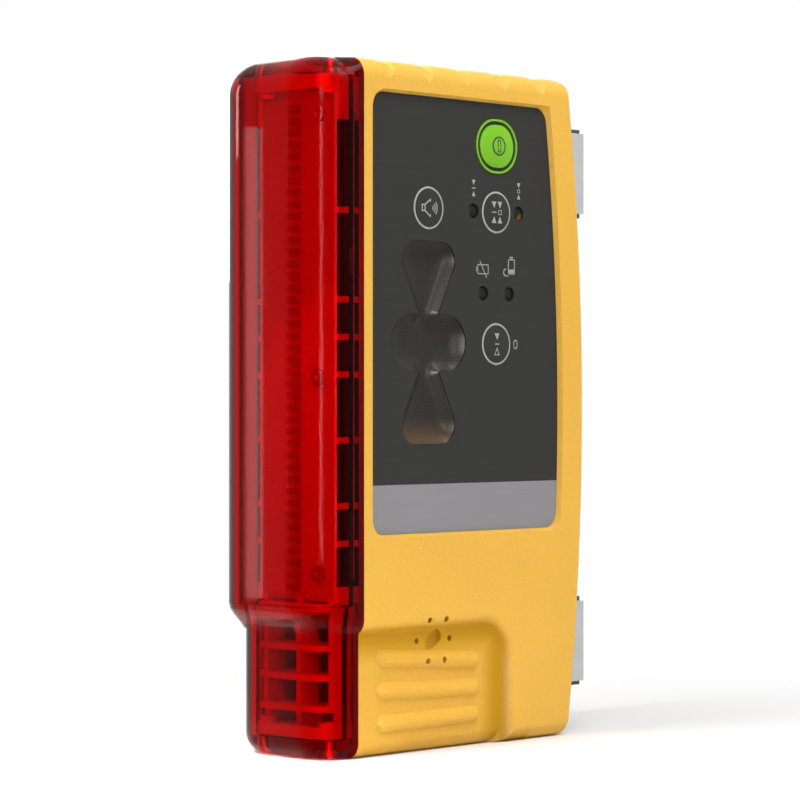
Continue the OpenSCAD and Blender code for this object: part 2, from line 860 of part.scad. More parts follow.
module front_bosses() {
    for (s = shell_screw_spots)
        pin_y(from_border(s[0]), s[1], face_y + wall / 2, 0, boss_r);
    for (z = ear_zs)
        pin_y(from_border(ear_x), z, face_y + wall / 2, -ear_t, boss_r);
    for (s = board_spots)
        pin_y(from_border(s[0]), s[1], face_y + wall / 2, board_y, standoff_r);
    difference() {
        pin_y(from_border(buzzer_x), buzzer_z, grip_y + wall / 2, grip_y + wall + buzzer_ring_h,
            buzzer_r + slip + buzzer_ring_t);
        pin_y(from_border(buzzer_x), buzzer_z, grip_y, grip_y + wall + buzzer_ring_h + over, buzzer_r + slip);
    }
}

module front_shell() {
    color([0.95, 0.73, 0.25])
        difference() {
            union() {
                difference() {
                    union() {
                        difference() {
                            housing_form();
                            difference() {
                                housing_cavity();
                                panel_pad();
                                grip_pad();
                                magnet_pads();
                            }
                            block(nose_x, magnet_x, 0, body_t, -over, body_h + over);
                        }
                        front_bosses();
                    }
                    shared_cuts();
                    front_cuts();
                }
                grip_ribs();
            }
            sound_holes();
        }
}

// Outline of the door, grown by g, up to height z1, with its lower corners rounded
module door_outline(g, z1) {
    difference() {
        translate([door_x0 - g, door_z0 - g]) square([door_x1 - door_x0 + 2 * g, z1 - door_z0 + g]);
        for (i = [0, 1])
            translate([i == 0 ? door_x0 - g : door_x1 + g, door_z0 - g]) mirror([i, 0]) corner_cut(door_r + g);
    }
}

// Thickened frame round the battery opening
module bay_pad() {
    slab(bay_pad_y, rear_y) round_rect(door_x0 - bay_frame, door_x1 + bay_frame, door_z0 - bay_frame,
        door_z1 + bay_frame, door_r + bay_frame);
}

module rear_bosses() {
    for (s = shell_screw_spots)
        pin_y(from_border(s[0]), s[1], 0, rear_y - wall / 2, rear_boss_r);
}

module rear_cuts() {
    mirror([0, 1, 0]) grip_cut();
    for (s = shell_screw_spots) {
        pin_y(from_border(s[0]), s[1], -over, screw_seat_y + over, screw_r + slip);
        pin_y(from_border(s[0]), s[1], screw_seat_y, rear_y + over, head_r + seat);
    }
    slab(ledge_y, rear_y + over) door_outline(seat, door_z1 + seat);
    slab(bay_pad_y - over, rear_y) translate([bay_x0, bay_z0]) square([bay_w, bay_h]);
    rail(door_x0 - seat, door_x1 + seat)
        polygon([[rear_y + over, door_z1], [rear_y + over, door_z1 + seat + hinge_room + over],
            [rear_y - hinge_room, door_z1 + seat], [rear_y - hinge_room, door_z1]]);
    pin_x(hinge_y, hinge_z, door_x0 - seat - hinge_pin_grip, door_x1 + seat + hinge_pin_grip,
        hinge_pin_r + slice);
    block(latch_x - latch_bar_w / 2 - latch_slot_end, latch_x + latch_bar_w / 2 + latch_slot_end,
        bay_pad_y - over, rear_y, latch_z - latch_shank_r - latch_slot_side,
        latch_z + latch_shank_r + latch_slot_side);
}

module rear_shell() {
    color([0.95, 0.73, 0.25]) {
        difference() {
            union() {
                difference() {
                    housing_form();
                    difference() {
                        housing_cavity();
                        bay_pad();
                        mirror([0, 1, 0]) grip_pad();
                        magnet_pads();
                    }
                    block(nose_x, magnet_x, -body_t, 0, -over, body_h + over);
                }
                rear_bosses();
            }
            shared_cuts();
            rear_cuts();
        }
        mirror([0, 1, 0]) grip_ribs();
    }
}

module shell_seal() {
    color([0.15, 0.15, 0.15])
        difference() {
            seal_cord(-cord_half, cord_half);
            magnet_seats();
        }
}

// Socket-head screw along -Z with the seat of its head at the origin
module screw(r, length, cap_r, cap_h) {
    translate([0, 0, -length]) cylinder(h = length, r = r);
    difference() {
        cylinder(h = cap_h, r = cap_r);
        translate([0, 0, cap_h * socket_share]) cylinder(h = cap_h, r = cap_r * socket_share, $fn = 6);
    }
}

module shell_screws() {
    color([0.6, 0.6, 0.62])
        for (s = shell_screw_spots)
            translate([from_border(s[0]), screw_seat_y, s[1]]) rotate([-90, 0, 0])
                screw(screw_r, screw_len, head_r, head_h);
}

// Plan of the nose, from x = nose to x1, with rounded nose corners
module nose_plan(nose, half, r, x1) {
    difference() {
        translate([nose, -half]) square([x1 - nose, 2 * half]);
        translate([nose, -half]) corner_cut(r);
        translate([nose, half]) mirror([0, 1]) corner_cut(r);
    }
}

// Thin level slice of the nose, for the blends
module nose_slice(z, nose_in, side_in, r) {
    half = body_t / 2 - side_in;
    for (side = [-1, 1])
        translate([nose_x + nose_in + r, side * (half - r), z])
            cylinder(h = blend_slice, r = r, $fn = blend_fn);
    block(border_x - blend_slice, border_x, -half, half, z, z + blend_slice);
}

// Slice of the stepped stretch, at share t of the way up
module step_slice(t) {
    z = foot_step_low + t * (foot_step_high - foot_step_low);
    turn = soft_step(1 - t);
    nose_slice(z, foot_inset * turn, grip_depth * soft_step((grip_h - z) / grip_slope_w),
        lens_corner_r + (foot_corner_r - lens_corner_r) * turn);
}

// Cross-section of the nose from z0 to z1, with its top edges rounded
module nose_section(half, r, z0, z1) {
    difference() {
        translate([-half, z0]) square([2 * half, z1 - z0]);
        for (i = [0, 1])
            translate([i == 0 ? -half : half, z1]) mirror([i, 0]) mirror([0, 1]) corner_cut(r);
    }
}

// Nose from z0 to z1, with a fillet round its top edge that narrows from nose_r to side_r at the border
module nose_end(nose, half, corner_r, nose_r, side_r, z0, z1) {
    turn_x = nose + corner_r;
    edge_z = z1 - nose_r;
    block(turn_x, border_x, -half, half, z0, edge_z);
    hull() {
        rail(turn_x, turn_x + slice) nose_section(half, nose_r, edge_z, z1);
        rail(border_x - slice, border_x) nose_section(half, side_r, edge_z, z1);
    }
    slab(corner_r - half, half - corner_r) difference() {
        translate([nose, z0]) square([corner_r, z1 - z0]);
        translate([nose, z1]) mirror([0, 1]) corner_cut(nose_r);
    }
    both_sides()
        translate([turn_x, corner_r - half, 0]) rotate([0, 0, 180]) rotate_extrude(angle = 90)
            difference() {
                translate([0, z0]) square([corner_r, z1 - z0]);
                translate([corner_r, z1]) rotate(180) corner_cut(nose_r);
            }
}

module lens_form() {
    nose_end(nose_x, body_t / 2, lens_corner_r, lens_top_r, top_edge_r, foot_step_high, body_h);
    mirror([0, 0, 1])
        nose_end(nose_x + foot_inset, body_t / 2 - grip_depth, foot_corner_r, lens_foot_r, base_edge_r,
            -foot_step_low - blend_slice, 0);
    intersection() {
        for (i = [0 : step_slices - 1])
            hull() {
                step_slice(i / step_slices);
                step_slice((i + 1) / step_slices);
            }
        block(nose_x - over, border_x, -body_t, body_t, 0, body_h);
    }
}

module lens_cavity() {
    tower(foot_step_high, body_h - lens_end_t)
        nose_plan(nose_x + lens_wall, body_t / 2 - lens_wall, lens_corner_r - lens_wall, border_x + over);
    tower(lens_end_t, foot_step_high + over)
        nose_plan(nose_x + foot_inset + lens_wall, body_t / 2 - grip_depth - lens_wall,
            foot_corner_r - lens_wall, border_x + over);
}

// Runs its children at the four lens screws, top pair upright and lower pair upside down
module at_lens_screws() {
    for (side = [-1, 1]) {
        translate([from_border(lens_screw_x), side * lens_screw_y, body_h - lens_head_sink]) children();
        translate([from_border(lens_screw_x), side * lens_screw_y, lens_head_sink])
            mirror([0, 0, 1]) children();
    }
}

module lens() {
    color([0.75, 0.02, 0.03])
        difference() {
            union() {
                difference() {
                    lens_form();
                    lens_cavity();
                }
                rail(border_x - root_len, border_x) difference() {
                    mouth_outline(root_in);
                    mouth_outline(tongue_in);
                }
                rail(border_x - root_len, from_border(tongue_len)) difference() {
                    mouth_outline(wall + slip);
                    mouth_outline(tongue_in);
                }
            }
            at_lens_screws() {
                cylinder(h = lens_head_sink + over, r = head_r + slip);
                translate([0, 0, -lens_end_t]) cylinder(h = lens_end_t + over, r = screw_r + slip);
            }
        }
}

module lens_seal() {
    color([0.15, 0.15, 0.15])
        rail(border_x, from_border(seal_w)) difference() {
            mouth_outline(wall - seal_w);
            mouth_outline(wall + slip);
        }
}

module lens_screws() {
    length = lens_end_t - lens_head_sink + frame_gap + lug_len - seat;
    color([0.75, 0.75, 0.77])
        at_lens_screws() screw(screw_r, length, head_r, head_h);
}

// Side rail of the receiver frame, with a ladder of openings
module frame_rail() {
    low = sensor_low - over;
    high = frame_top - frame_plate_t;
    span = high - low - 2 * ladder_margin;
    difference() {
        block(from_border(sensor_x), from_border(frame_back), -rail_out, -rail_out + rail_t, low, frame_top);
        difference() {
            block(from_border(sensor_x + ladder_inset), from_border(frame_back - ladder_inset),
                -rail_out - over, -rail_out + rail_t + over, low + ladder_margin, high - ladder_margin);
            for (s = ladder_bar_shares)
                block(nose_x, bow_end, -body_t, 0, low + ladder_margin + s * span,
                    low + ladder_margin + s * span + ladder_bar_t);
        }
    }
}

// Plate and ear at one end of the frame
module frame_end(z0, z1, ear_z) {
    tower(z0, z1)
        nose_plan(from_border(frame_front), web_y + lug_r, frame_corner_r, from_border(frame_back));
    block(from_border(frame_back) - over, from_border(ear_x), -ear_t, 0, ear_z - ear_r, ear_z + ear_r);
    pin_y(from_border(ear_x), ear_z, -ear_t, 0, ear_r);
}

module receiver_frame() {
    spine_x = from_border(sensor_x + sensor_t);
    color([0.9, 0.88, 0.82])
        difference() {
            union() {
                both_sides() frame_rail();
                block(spine_x, spine_x + spine_t, -rail_out, rail_out, sensor_low - over, frame_top);
                frame_end(frame_low, frame_low + frame_plate_t, ear_zs[0]);
                frame_end(frame_top - frame_plate_t, frame_top, ear_zs[1]);
                for (z = shelf_zs)
                    tower(z, z + web_t)
                        nose_plan(from_border(frame_front), web_y + web_t, frame_corner_r,
                            from_border(frame_back));
                both_sides()
                    block(from_border(sensor_x), from_border(frame_back), -web_y - web_t, -web_y,
                        frame_low, sensor_low);
                block(from_border(sensor_x), from_border(frame_back), -web_t / 2, web_t / 2,
                    frame_low, sensor_low);
                for (side = [-1, 1]) {
                    pin_z(from_border(lens_screw_x), side * lens_screw_y, frame_top - lug_len, frame_top,
                        lug_r);
                    pin_z(from_border(lens_screw_x), side * lens_screw_y, frame_low, frame_low + lug_len,
                        lug_r);
                }
            }
            at_lens_screws() translate([0, 0, -lens_end_t - lug_len])
                cylinder(h = lens_end_t + lug_len, r = screw_r + thread_gap);
            for (z = ear_zs)
                pin_y(from_border(ear_x), z, -ear_t - over, over, frame_screw_r + slip);
            for (s = sensor_screw_shares)
                pin_x(sensor_screw_y, sensor_low + s * sensor_h, nose_x, from_border(frame_back) + over,
                    sensor_screw_r + thread_gap);
        }
}

module frame_screws() {
    color([0.6, 0.6, 0.62])
        for (z = ear_zs)
            translate([from_border(ear_x), 0, z]) rotate([-90, 0, 0])
                screw(frame_screw_r, ear_t + frame_screw_len - seat, fixing_head_r + seat, head_h);
}

module receiver_board() {
    color([0.85, 0.84, 0.78])
        difference() {
            block(from_border(sensor_x), from_border(sensor_x + sensor_t), -sensor_w / 2, sensor_w / 2,
                sensor_low, sensor_top);
            for (s = sensor_screw_shares)
                pin_x(sensor_screw_y, sensor_low + s * sensor_h, nose_x, bow_end, sensor_screw_r + slip);
        }
}

module photodiodes() {
    first_z = (sensor_low + sensor_top - (diode_count - 1) * diode_pitch) / 2;
    color([0.12, 0.12, 0.14])
        for (i = [0 : diode_count - 1]) {
            z = first_z + i * diode_pitch;
            block(from_border(sensor_x - diode_t), from_border(sensor_x), diode_y - diode_w / 2,
                diode_y + diode_w / 2, z - diode_h / 2, z + diode_h / 2);
        }
}

module board_screws() {
    length = sensor_t + spine_t + over;
    color([0.7, 0.7, 0.72])
        for (s = sensor_screw_shares)
            translate([from_border(sensor_x), sensor_screw_y, sensor_low + s * sensor_h]) rotate([0, -90, 0])
                screw(sensor_screw_r, length, sensor_head_r, sensor_head_h);
}

// Overlay between two heights, before its openings are cut
module overlay(z0, z1) {
    intersection() {
        slab(panel_y, floor_y) panel_outline(panel_slope + slip);
        block(nose_x, bow_end, face_y, pad_y, z0, z1);
    }
}

module keypad_panel() {
    color([0.22, 0.22, 0.21])
        difference() {
            overlay(band_top, body_h);
            for (k = key_spots)
                pin_y(from_border(k[0]), k[1], face_y, pad_y, key_r + slip);
            for (s = lamp_spots)
                pin_y(from_border(s[0]), s[1], face_y, pad_y, lamp_r + slip);
            slab(face_y, pad_y) power_outline(power_r + slip);
            bezel_ring(face_y, panel_y + bezel_sink, slice);
            slab(face_y, pad_y) display_outline(slip);
        }
}

module panel_band() {
    color([0.57, 0.57, 0.58]) overlay(0, band_top);
}

// Shallow round bowl sunk from the front of the display
module bowl(x, z, r) {
    bowl_r = (pow(r, 2) + pow(bowl_depth, 2)) / (2 * bowl_depth);
    translate([from_border(col_a) + x, panel_y + window_sink, z]) rotate([-90, 0, 0])
        rotate_extrude($fn = 96) intersection() {
            translate([0, bowl_depth - bowl_r]) circle(bowl_r, $fn = crown_fn);
            translate([0, -slice]) square([r + over, bowl_depth + over]);
        }
}

module display_window() {
    lobe_z = display_half - lobe_bowl_in;
    color([0.24, 0.22, 0.21])
        difference() {
            union() {
                slab(panel_y + window_sink, pad_y + flange_t) display_outline(0);
                slab(pad_y, pad_y + flange_t) display_outline(flange_w);
            }
            for (side = [-1, 1])
                bowl(0, zero_z + side * lobe_z, lobe_bowl_r);
            for (side = [-1, 1])
                bowl(side * bar_bowl_x, zero_z, bar_h / 2 - bowl_rim);
        }
}

module power_key_bezel() {
    color([0.4, 0.75, 0.15]) bezel_ring(panel_y - bezel_proud, panel_y + bezel_sink, 0);
}

// Stem of a key, from its head to just short of its switch
module key_stem(x, z) {
    pin_y(from_border(x), z, floor_y, stem_end_y, stem_r);
}

module power_key() {
    front = panel_y - power_proud;
    color([0.48, 0.8, 0.18]) {
        intersection() {
            slab(front, floor_y + key_rear) power_outline(power_r);
            translate([from_border(col_b), front + power_crown_r, power_z])
                sphere(power_crown_r, $fn = crown_fn);
        }
        key_stem(col_b, power_z);
    }
}

module round_key(x, z) {
    front = panel_y - key_proud;
    color([0.2, 0.2, 0.19]) {
        intersection() {
            pin_y(from_border(x), z, front, floor_y + key_rear, key_r);
            translate([from_border(x), front + key_crown_r, z]) sphere(key_crown_r, $fn = crown_fn);
        }
        key_stem(x, z);
    }
}

module volume_key() {
    round_key(col_a, upper_z);
}

module precision_key() {
    round_key(col_b, upper_z);
}

module zero_key() {
    round_key(col_b, zero_z);
}

module main_board() {
    color([0.1, 0.35, 0.18])
        difference() {
            block(from_border(board_x0), from_border(board_x1), board_y, board_y + board_t,
                board_low, board_top);
            for (s = board_spots)
                pin_y(from_border(s[0]), s[1], board_y - over, board_y + board_t + over, fixing_r + slip);
        }
}

module board_fixings() {
    length = board_t + standoff_h;
    color([0.7, 0.7, 0.72])
        for (s = board_spots)
            translate([from_border(s[0]), board_y + board_t, s[1]]) rotate([-90, 0, 0])
                screw(fixing_r, length, fixing_head_r, fixing_head_h);
}

module key_switches() {
    spots = concat(key_spots, [[col_b, power_z]]);
    color([0.3, 0.3, 0.32])
        for (s = spots) {
            block(from_border(s[0]) - switch_w / 2, from_border(s[0]) + switch_w / 2,
                board_y - switch_h / 2, board_y, s[1] - switch_w / 2, s[1] + switch_w / 2);
            pin_y(from_border(s[0]), s[1], board_y - switch_h, board_y, plunger_r);
        }
}

module display_leds() {
    lobe = [[-1, 1], [1, 1], [0, 0]];
    color([0.9, 0.9, 0.85])
        translate([from_border(col_a), board_y - led_t, zero_z]) {
            for (i = [-1 : 1])
                translate([i * led_pitch - led_w / 2, 0, -led_h / 2]) cube([led_w, led_t, led_h]);
            for (side = [-1, 1], s = lobe)
                translate([s[0] * led_pitch / 2 - led_w / 2, 0,
                    side * (lobe_led_z + s[1] * led_pitch) - led_h / 2]) cube([led_w, led_t, led_h]);
        }
}

module status_leds() {
    tip = panel_y + lamp_sink;
    color([0.35, 0.25, 0.12])
        for (s = lamp_spots)
            difference() {
                pin_y(from_border(s[0]), s[1], tip, board_y, lamp_r);
                difference() {
                    pin_y(from_border(s[0]), s[1], tip - over, tip + over, lamp_r + over);
                    translate([from_border(s[0]), tip + lamp_crown_r, s[1]])
                        sphere(lamp_crown_r, $fn = crown_fn);
                }
            }
}

module buzzer() {
    y0 = grip_y + wall;
    color([0.12, 0.12, 0.12])
        difference() {
            pin_y(from_border(buzzer_x), buzzer_z, y0, y0 + buzzer_t, buzzer_r);
            pin_y(from_border(buzzer_x), buzzer_z, y0 - over, y0 + buzzer_port_t, buzzer_port_r);
        }
}

module battery_tray() {
    color([0.2, 0.2, 0.2])
        difference() {
            block(bay_x0 - tray_wall, bay_x1 + tray_wall, tray_floor_y - tray_wall, bay_pad_y,
                tray_low, bay_z1 + tray_wall);
            block(bay_x0, bay_x1, tray_floor_y, bay_pad_y + over, bay_z0, bay_z1);
        }
}

function cell_x(i) = bay_x0 + cell_gap + cell_d / 2 + i * (cell_d + cell_gap);

module battery_cells() {
    color([0.25, 0.27, 0.3])
        for (i = [0 : cell_count - 1])
            translate([cell_x(i), cell_y, (bay_z0 + bay_z1) / 2]) mirror([0, 0, i % 2]) {
                translate([0, 0, -cell_len / 2]) cylinder(h = cell_len - nub_h, r = cell_d / 2);
                translate([0, 0, cell_len / 2 - nub_h]) cylinder(h = nub_h, r = nub_r);
            }
}

// Contact on the floor of the bay: a plate with a button or a wide spring cup
module contact(cup_r) {
    translate([-contact_w / 2, -contact_w / 2, 0]) cube([contact_w, contact_w, contact_t]);
    difference() {
        cylinder(h = contact_room, r1 = cup_r, r2 = contact_button_r);
        translate([0, 0, contact_t]) cylinder(h = contact_room, r = contact_button_r / 2);
    }
}

module battery_contacts() {
    color([0.8, 0.8, 0.78])
        for (i = [0 : cell_count - 1])
            translate([cell_x(i), cell_y, (bay_z0 + bay_z1) / 2]) {
                translate([0, 0, -bay_h / 2])
                    contact(i % 2 == 0 ? contact_spring_r : contact_button_r + contact_t);
                mirror([0, 0, 1]) translate([0, 0, -bay_h / 2])
                    contact(i % 2 == 0 ? contact_button_r + contact_t : contact_spring_r);
            }
}

module battery_door() {
    color([0.95, 0.73, 0.25])
        difference() {
            union() {
                slab(door_y, rear_y) door_outline(0, hinge_z);
                pin_x(hinge_y, hinge_z, door_x0, door_x1, door_t / 2);
            }
            pin_x(hinge_y, hinge_z, door_x0 - over, door_x1 + over, hinge_pin_r + hinge_slip);
            pin_y(latch_x, latch_z, rear_y - latch_head_t - latch_sink, rear_y + over, latch_head_r + slip);
            pin_y(latch_x, latch_z, door_y - over, rear_y, latch_shank_r + slip);
        }
}

module door_seal() {
    color([0.15, 0.15, 0.15])
        slab(door_y - door_seal_t, door_y) difference() {
            round_rect(bay_x0 - door_seal_w, bay_x1 + door_seal_w, bay_z0 - door_seal_w, bay_z1 + door_seal_w,
                door_seal_w);
            translate([bay_x0, bay_z0]) square([bay_w, bay_h]);
        }
}

module door_hinge_pin() {
    color([0.7, 0.7, 0.72])
        pin_x(hinge_y, hinge_z, door_x0 - hinge_pin_grip, door_x1 + hinge_pin_grip, hinge_pin_r);
}

module door_latch() {
    top = rear_y - latch_sink;
    bar_y = bay_pad_y - seat;
    color([0.2, 0.2, 0.2])
        difference() {
            union() {
                pin_y(latch_x, latch_z, top - latch_head_t, top, latch_head_r);
                pin_y(latch_x, latch_z, bar_y - latch_bar_t, top, latch_shank_r);
                block(latch_x - latch_bar_w / 2, latch_x + latch_bar_w / 2, bar_y - latch_bar_t, bar_y,
                    latch_z - latch_bar_h / 2, latch_z + latch_bar_h / 2);
            }
            block(latch_x - latch_head_r, latch_x + latch_head_r, top - coin_depth, rear_y,
                latch_z - coin_w / 2, latch_z + coin_w / 2);
        }
}

module magnet_channels() {
    half = channel_w / 2;
    color([0.78, 0.78, 0.78])
        for (z = magnet_zs)
            difference() {
                block(seat_x, magnet_x, -half, half, z - channel_len / 2, z + channel_len / 2);
                block(seat_x + channel_t, magnet_x + over, channel_t - half, half - channel_t,
                    z - channel_len / 2 - over, z + channel_len / 2 + over);
                for (y = [-magnet_screw_y, magnet_screw_y])
                    pin_x(y, z, seat_x - over, magnet_x, screw_r + slip);
            }
}

module ferrite_bars() {
    half = channel_w / 2 - channel_t;
    color([0.1, 0.1, 0.1])
        for (z = magnet_zs)
            difference() {
                block(seat_x + channel_t, magnet_x, -half, half, z - ferrite_len / 2, z + ferrite_len / 2);
                for (y = [-magnet_screw_y, magnet_screw_y])
                    pin_x(y, z, seat_x, magnet_x + over, magnet_hole_r);
            }
}

module magnet_screws() {
    color([0.7, 0.7, 0.72])
        for (z = magnet_zs, y = [-magnet_screw_y, magnet_screw_y])
            translate([seat_x + channel_t, y, z]) rotate([0, 90, 0])
                screw(screw_r, magnet_screw_len, head_r, head_h);
}

front_shell();
rear_shell();
shell_seal();
shell_screws();
lens();
lens_seal();
lens_screws();
receiver_frame();
frame_screws();
receiver_board();
photodiodes();
board_screws();
keypad_panel();
panel_band();
display_window();
power_key_bezel();
power_key();
volume_key();
precision_key();
zero_key();
main_board();
board_fixings();
key_switches();
display_leds();
status_leds();
buzzer();
battery_tray();
battery_cells();
battery_contacts();
battery_door();
door_seal();
door_hinge_pin();
door_latch();
magnet_channels();
ferrite_bars();
magnet_screws();
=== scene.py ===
"""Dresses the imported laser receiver: finishes for every solid, printed marks, studio and camera."""

import json
import logging
import math
from dataclasses import dataclass, field
from enum import Enum

import bmesh
import bpy
import numpy as np
from mathutils import Matrix, Vector

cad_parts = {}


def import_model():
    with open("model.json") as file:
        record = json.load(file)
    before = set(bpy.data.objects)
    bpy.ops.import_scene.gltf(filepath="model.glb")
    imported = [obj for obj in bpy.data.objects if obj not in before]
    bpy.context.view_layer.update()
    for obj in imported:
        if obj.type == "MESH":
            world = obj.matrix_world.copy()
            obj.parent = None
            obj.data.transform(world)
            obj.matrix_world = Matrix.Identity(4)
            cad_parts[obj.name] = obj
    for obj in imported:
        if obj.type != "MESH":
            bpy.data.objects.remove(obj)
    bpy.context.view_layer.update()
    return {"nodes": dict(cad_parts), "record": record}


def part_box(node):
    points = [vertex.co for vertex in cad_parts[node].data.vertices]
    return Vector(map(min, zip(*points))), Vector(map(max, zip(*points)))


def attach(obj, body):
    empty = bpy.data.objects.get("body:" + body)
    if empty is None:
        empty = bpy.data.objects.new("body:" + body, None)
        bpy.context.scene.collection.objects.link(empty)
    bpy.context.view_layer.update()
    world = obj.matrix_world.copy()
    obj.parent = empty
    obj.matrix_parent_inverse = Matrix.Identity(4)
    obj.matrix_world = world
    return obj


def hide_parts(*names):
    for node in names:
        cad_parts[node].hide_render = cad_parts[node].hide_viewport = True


LOG = logging.getLogger("laser_receiver")
MM = 0.001
UNEVEN = 0.06  # How far a moulded or plated surface's roughness strays.

Colour = tuple[float, float, float]
Place = tuple[float, float, float]
Point = tuple[float, float]
Socket = bpy.types.NodeSocket


class Group(Enum):
    """Shader effects that several finishes share."""

    GRAIN = "moulded_grain"
    LINES = "brushed_lines"
    SPECKS = "fine_specks"


class Shine(Enum):
    """What a lamp adds to."""

    ALL = "matt light and highlights"
    GLOSS = "highlights only"
    MATT = "matt light only"


class Graph:
    """Short hand for filling a shader node tree."""

    def __init__(self, tree: bpy.types.NodeTree) -> None:
        """Keeps the tree of a material, world or group, which the nodes go into."""
        self.tree = tree

    def add(self, kind: str, values: dict | None = None, **settings: object) -> bpy.types.Node:
        """Adds a node, sets its properties and fills or links its inputs.

        Args:
            kind: Blender's node type name.
            values: Input names or numbers, each with a value or a socket to link from.
            settings: Properties of the node itself.

        Returns:
            The new node.
        """
        made = self.tree.nodes.new(kind)
        for key, value in settings.items():
            setattr(made, key, value)
        for key, value in (values or {}).items():
            self.feed(made.inputs[key], value)
        return made

    def feed(self, socket: Socket, value: object) -> None:
        """Links a socket to another one, or sets its own value.

        Args:
            socket: The input to fill.
            value: A socket to link from, or a plain value. A colour has three numbers and is opaque.
        """
        if isinstance(value, Socket):
            self.tree.links.new(value, socket)
        else:
            socket.default_value = (*value, 1) if socket.type == "RGBA" else value

    def blend(self, factor: Socket, low: object, high: object) -> Socket:
        """Mixes two colours, by the share of the second one."""
        # A Mix node has sockets for each type of data: inputs 6 and 7 and output 2 are the colours'.
        return self.add("ShaderNodeMix", {0: factor, 6: low, 7: high}, data_type="RGBA").outputs[2]

    def span(self, value: Socket, low: float, high: float, start: float = 0, end: float = 1) -> Socket:
        """Maps the range from start to end onto low to high, and holds the result beyond its ends."""
        ends = {"From Min": start, "From Max": end, "To Min": low, "To Max": high}
        return self.add("ShaderNodeMapRange", {"Value": value, **ends}).outputs["Result"]

    def maths(self, operation: str, first: object, second: object = 0.0) -> Socket:
        """Adds a Math node, by Blender's name of the operation."""
        return self.add("ShaderNodeMath", {0: first, 1: second}, operation=operation).outputs[0]

    def away(self, value: Socket, middle: float) -> Socket:
        """Distance of a value from a middle."""
        return self.maths("ABSOLUTE", self.maths("SUBTRACT", value, middle))

    def place(self, kind: str = "Object") -> Socket:
        """Texture coordinate of a kind."""
        return self.add("ShaderNodeTexCoord").outputs[kind]

    def axes(self, vector: Socket | None = None) -> dict[str, Socket]:
        """Splits a vector, or the place on the object, into sockets by axis."""
        split = self.add("ShaderNodeSeparateXYZ", {0: self.place() if vector is None else vector})
        return {axis: split.outputs[axis] for axis in "XYZ"}

    def seen(self) -> Socket:
        """Mask of the rays that meet a white background.

        Returns:
            A socket that is 1 for what the camera sees, also in gloss and through glass.
        """
        path = self.add("ShaderNodeLightPath").outputs
        direct = self.maths("MAXIMUM", path["Is Camera Ray"], path["Is Glossy Ray"])
        return self.maths("MAXIMUM", direct, path["Is Transmission Ray"])

    def either(self, factor: Socket, first: bpy.types.Node, second: bpy.types.Node) -> bpy.types.Node:
        """Mixes two shaders, by the share of the second one."""
        return self.add("ShaderNodeMixShader", {0: factor, 1: first.outputs[0], 2: second.outputs[0]})


class SharedEffects:
    """Builds each shared node group once."""

    def __init__(self) -> None:
        """Makes the groups, which are kept by their names."""
        self.trees: dict[Group, bpy.types.NodeTree] = {}
        self._grain()
        self._lines()
        self._specks()

    def _new(
        self, group: Group, inputs: list[str], outputs: list[str]
    ) -> tuple[Graph, dict[str, Socket], bpy.types.Node]:
        """Starts a group tree.

        Args:
            group: Which effect.
            inputs: Input names.
            outputs: Output names.

        Returns:
            The graph, the input sockets by name, and the output node.
        """
        tree = self.trees[group] = bpy.data.node_groups.new(group.value, "ShaderNodeTree")
        for side, names in (("INPUT", inputs), ("OUTPUT", outputs)):
            for name in names:
                tree.interface.new_socket(name, in_out=side, socket_type="NodeSocketFloat")
        graph = Graph(tree)
        start = graph.add("NodeGroupInput")
        return graph, {name: start.outputs[name] for name in inputs}, graph.add("NodeGroupOutput")

    def _grain(self) -> None:
        """Spark-eroded mould texture: fine cells and a slow drift of tone."""
        graph, given, end = self._new(Group.GRAIN, ["Cells", "Drift"], ["Height", "Tone"])
        place = graph.place()
        fine = {"Scale": given["Cells"], "Detail": 2.0, "Roughness": 0.6}
        cells = graph.add("ShaderNodeTexNoise", {"Vector": place, **fine})
        slow = graph.add("ShaderNodeTexNoise", {"Vector": place, "Scale": given["Drift"], "Detail": 3.0})
        graph.feed(end.inputs["Height"], cells.outputs["Fac"])
        graph.feed(end.inputs["Tone"], slow.outputs["Fac"])

    def _lines(self) -> None:
        """Fine brushed lines along X, or along Z where Upright is 1."""
        graph, given, end = self._new(Group.LINES, ["Lines", "Stretch", "Upright"], ["Line"])
        at = graph.axes()
        level = graph.maths("SUBTRACT", 1.0, given["Upright"])
        warped = []
        for lying, standing, scale in (("Z", "Y", "Lines"), ("X", "Z", "Stretch")):
            flat = graph.maths("MULTIPLY", at[lying], level)
            tall = graph.maths("MULTIPLY", at[standing], given["Upright"])
            warped.append(graph.maths("MULTIPLY", graph.maths("ADD", flat, tall), given[scale]))
        vector = graph.add("ShaderNodeCombineXYZ", dict(enumerate(warped))).outputs[0]
        noise = graph.add("ShaderNodeTexNoise", {"Vector": vector, "Scale": 1.0, "Detail": 2.0})
        graph.feed(end.inputs["Line"], noise.outputs["Fac"])

    def _specks(self) -> None:
        """Scattered specks, as in ground ferrite or plated steel."""
        graph, given, end = self._new(Group.SPECKS, ["Specks"], ["Speck"])
        cells = graph.add("ShaderNodeTexVoronoi", {"Vector": graph.place(), "Scale": given["Specks"]})
        graph.feed(end.inputs["Speck"], cells.outputs["Distance"])


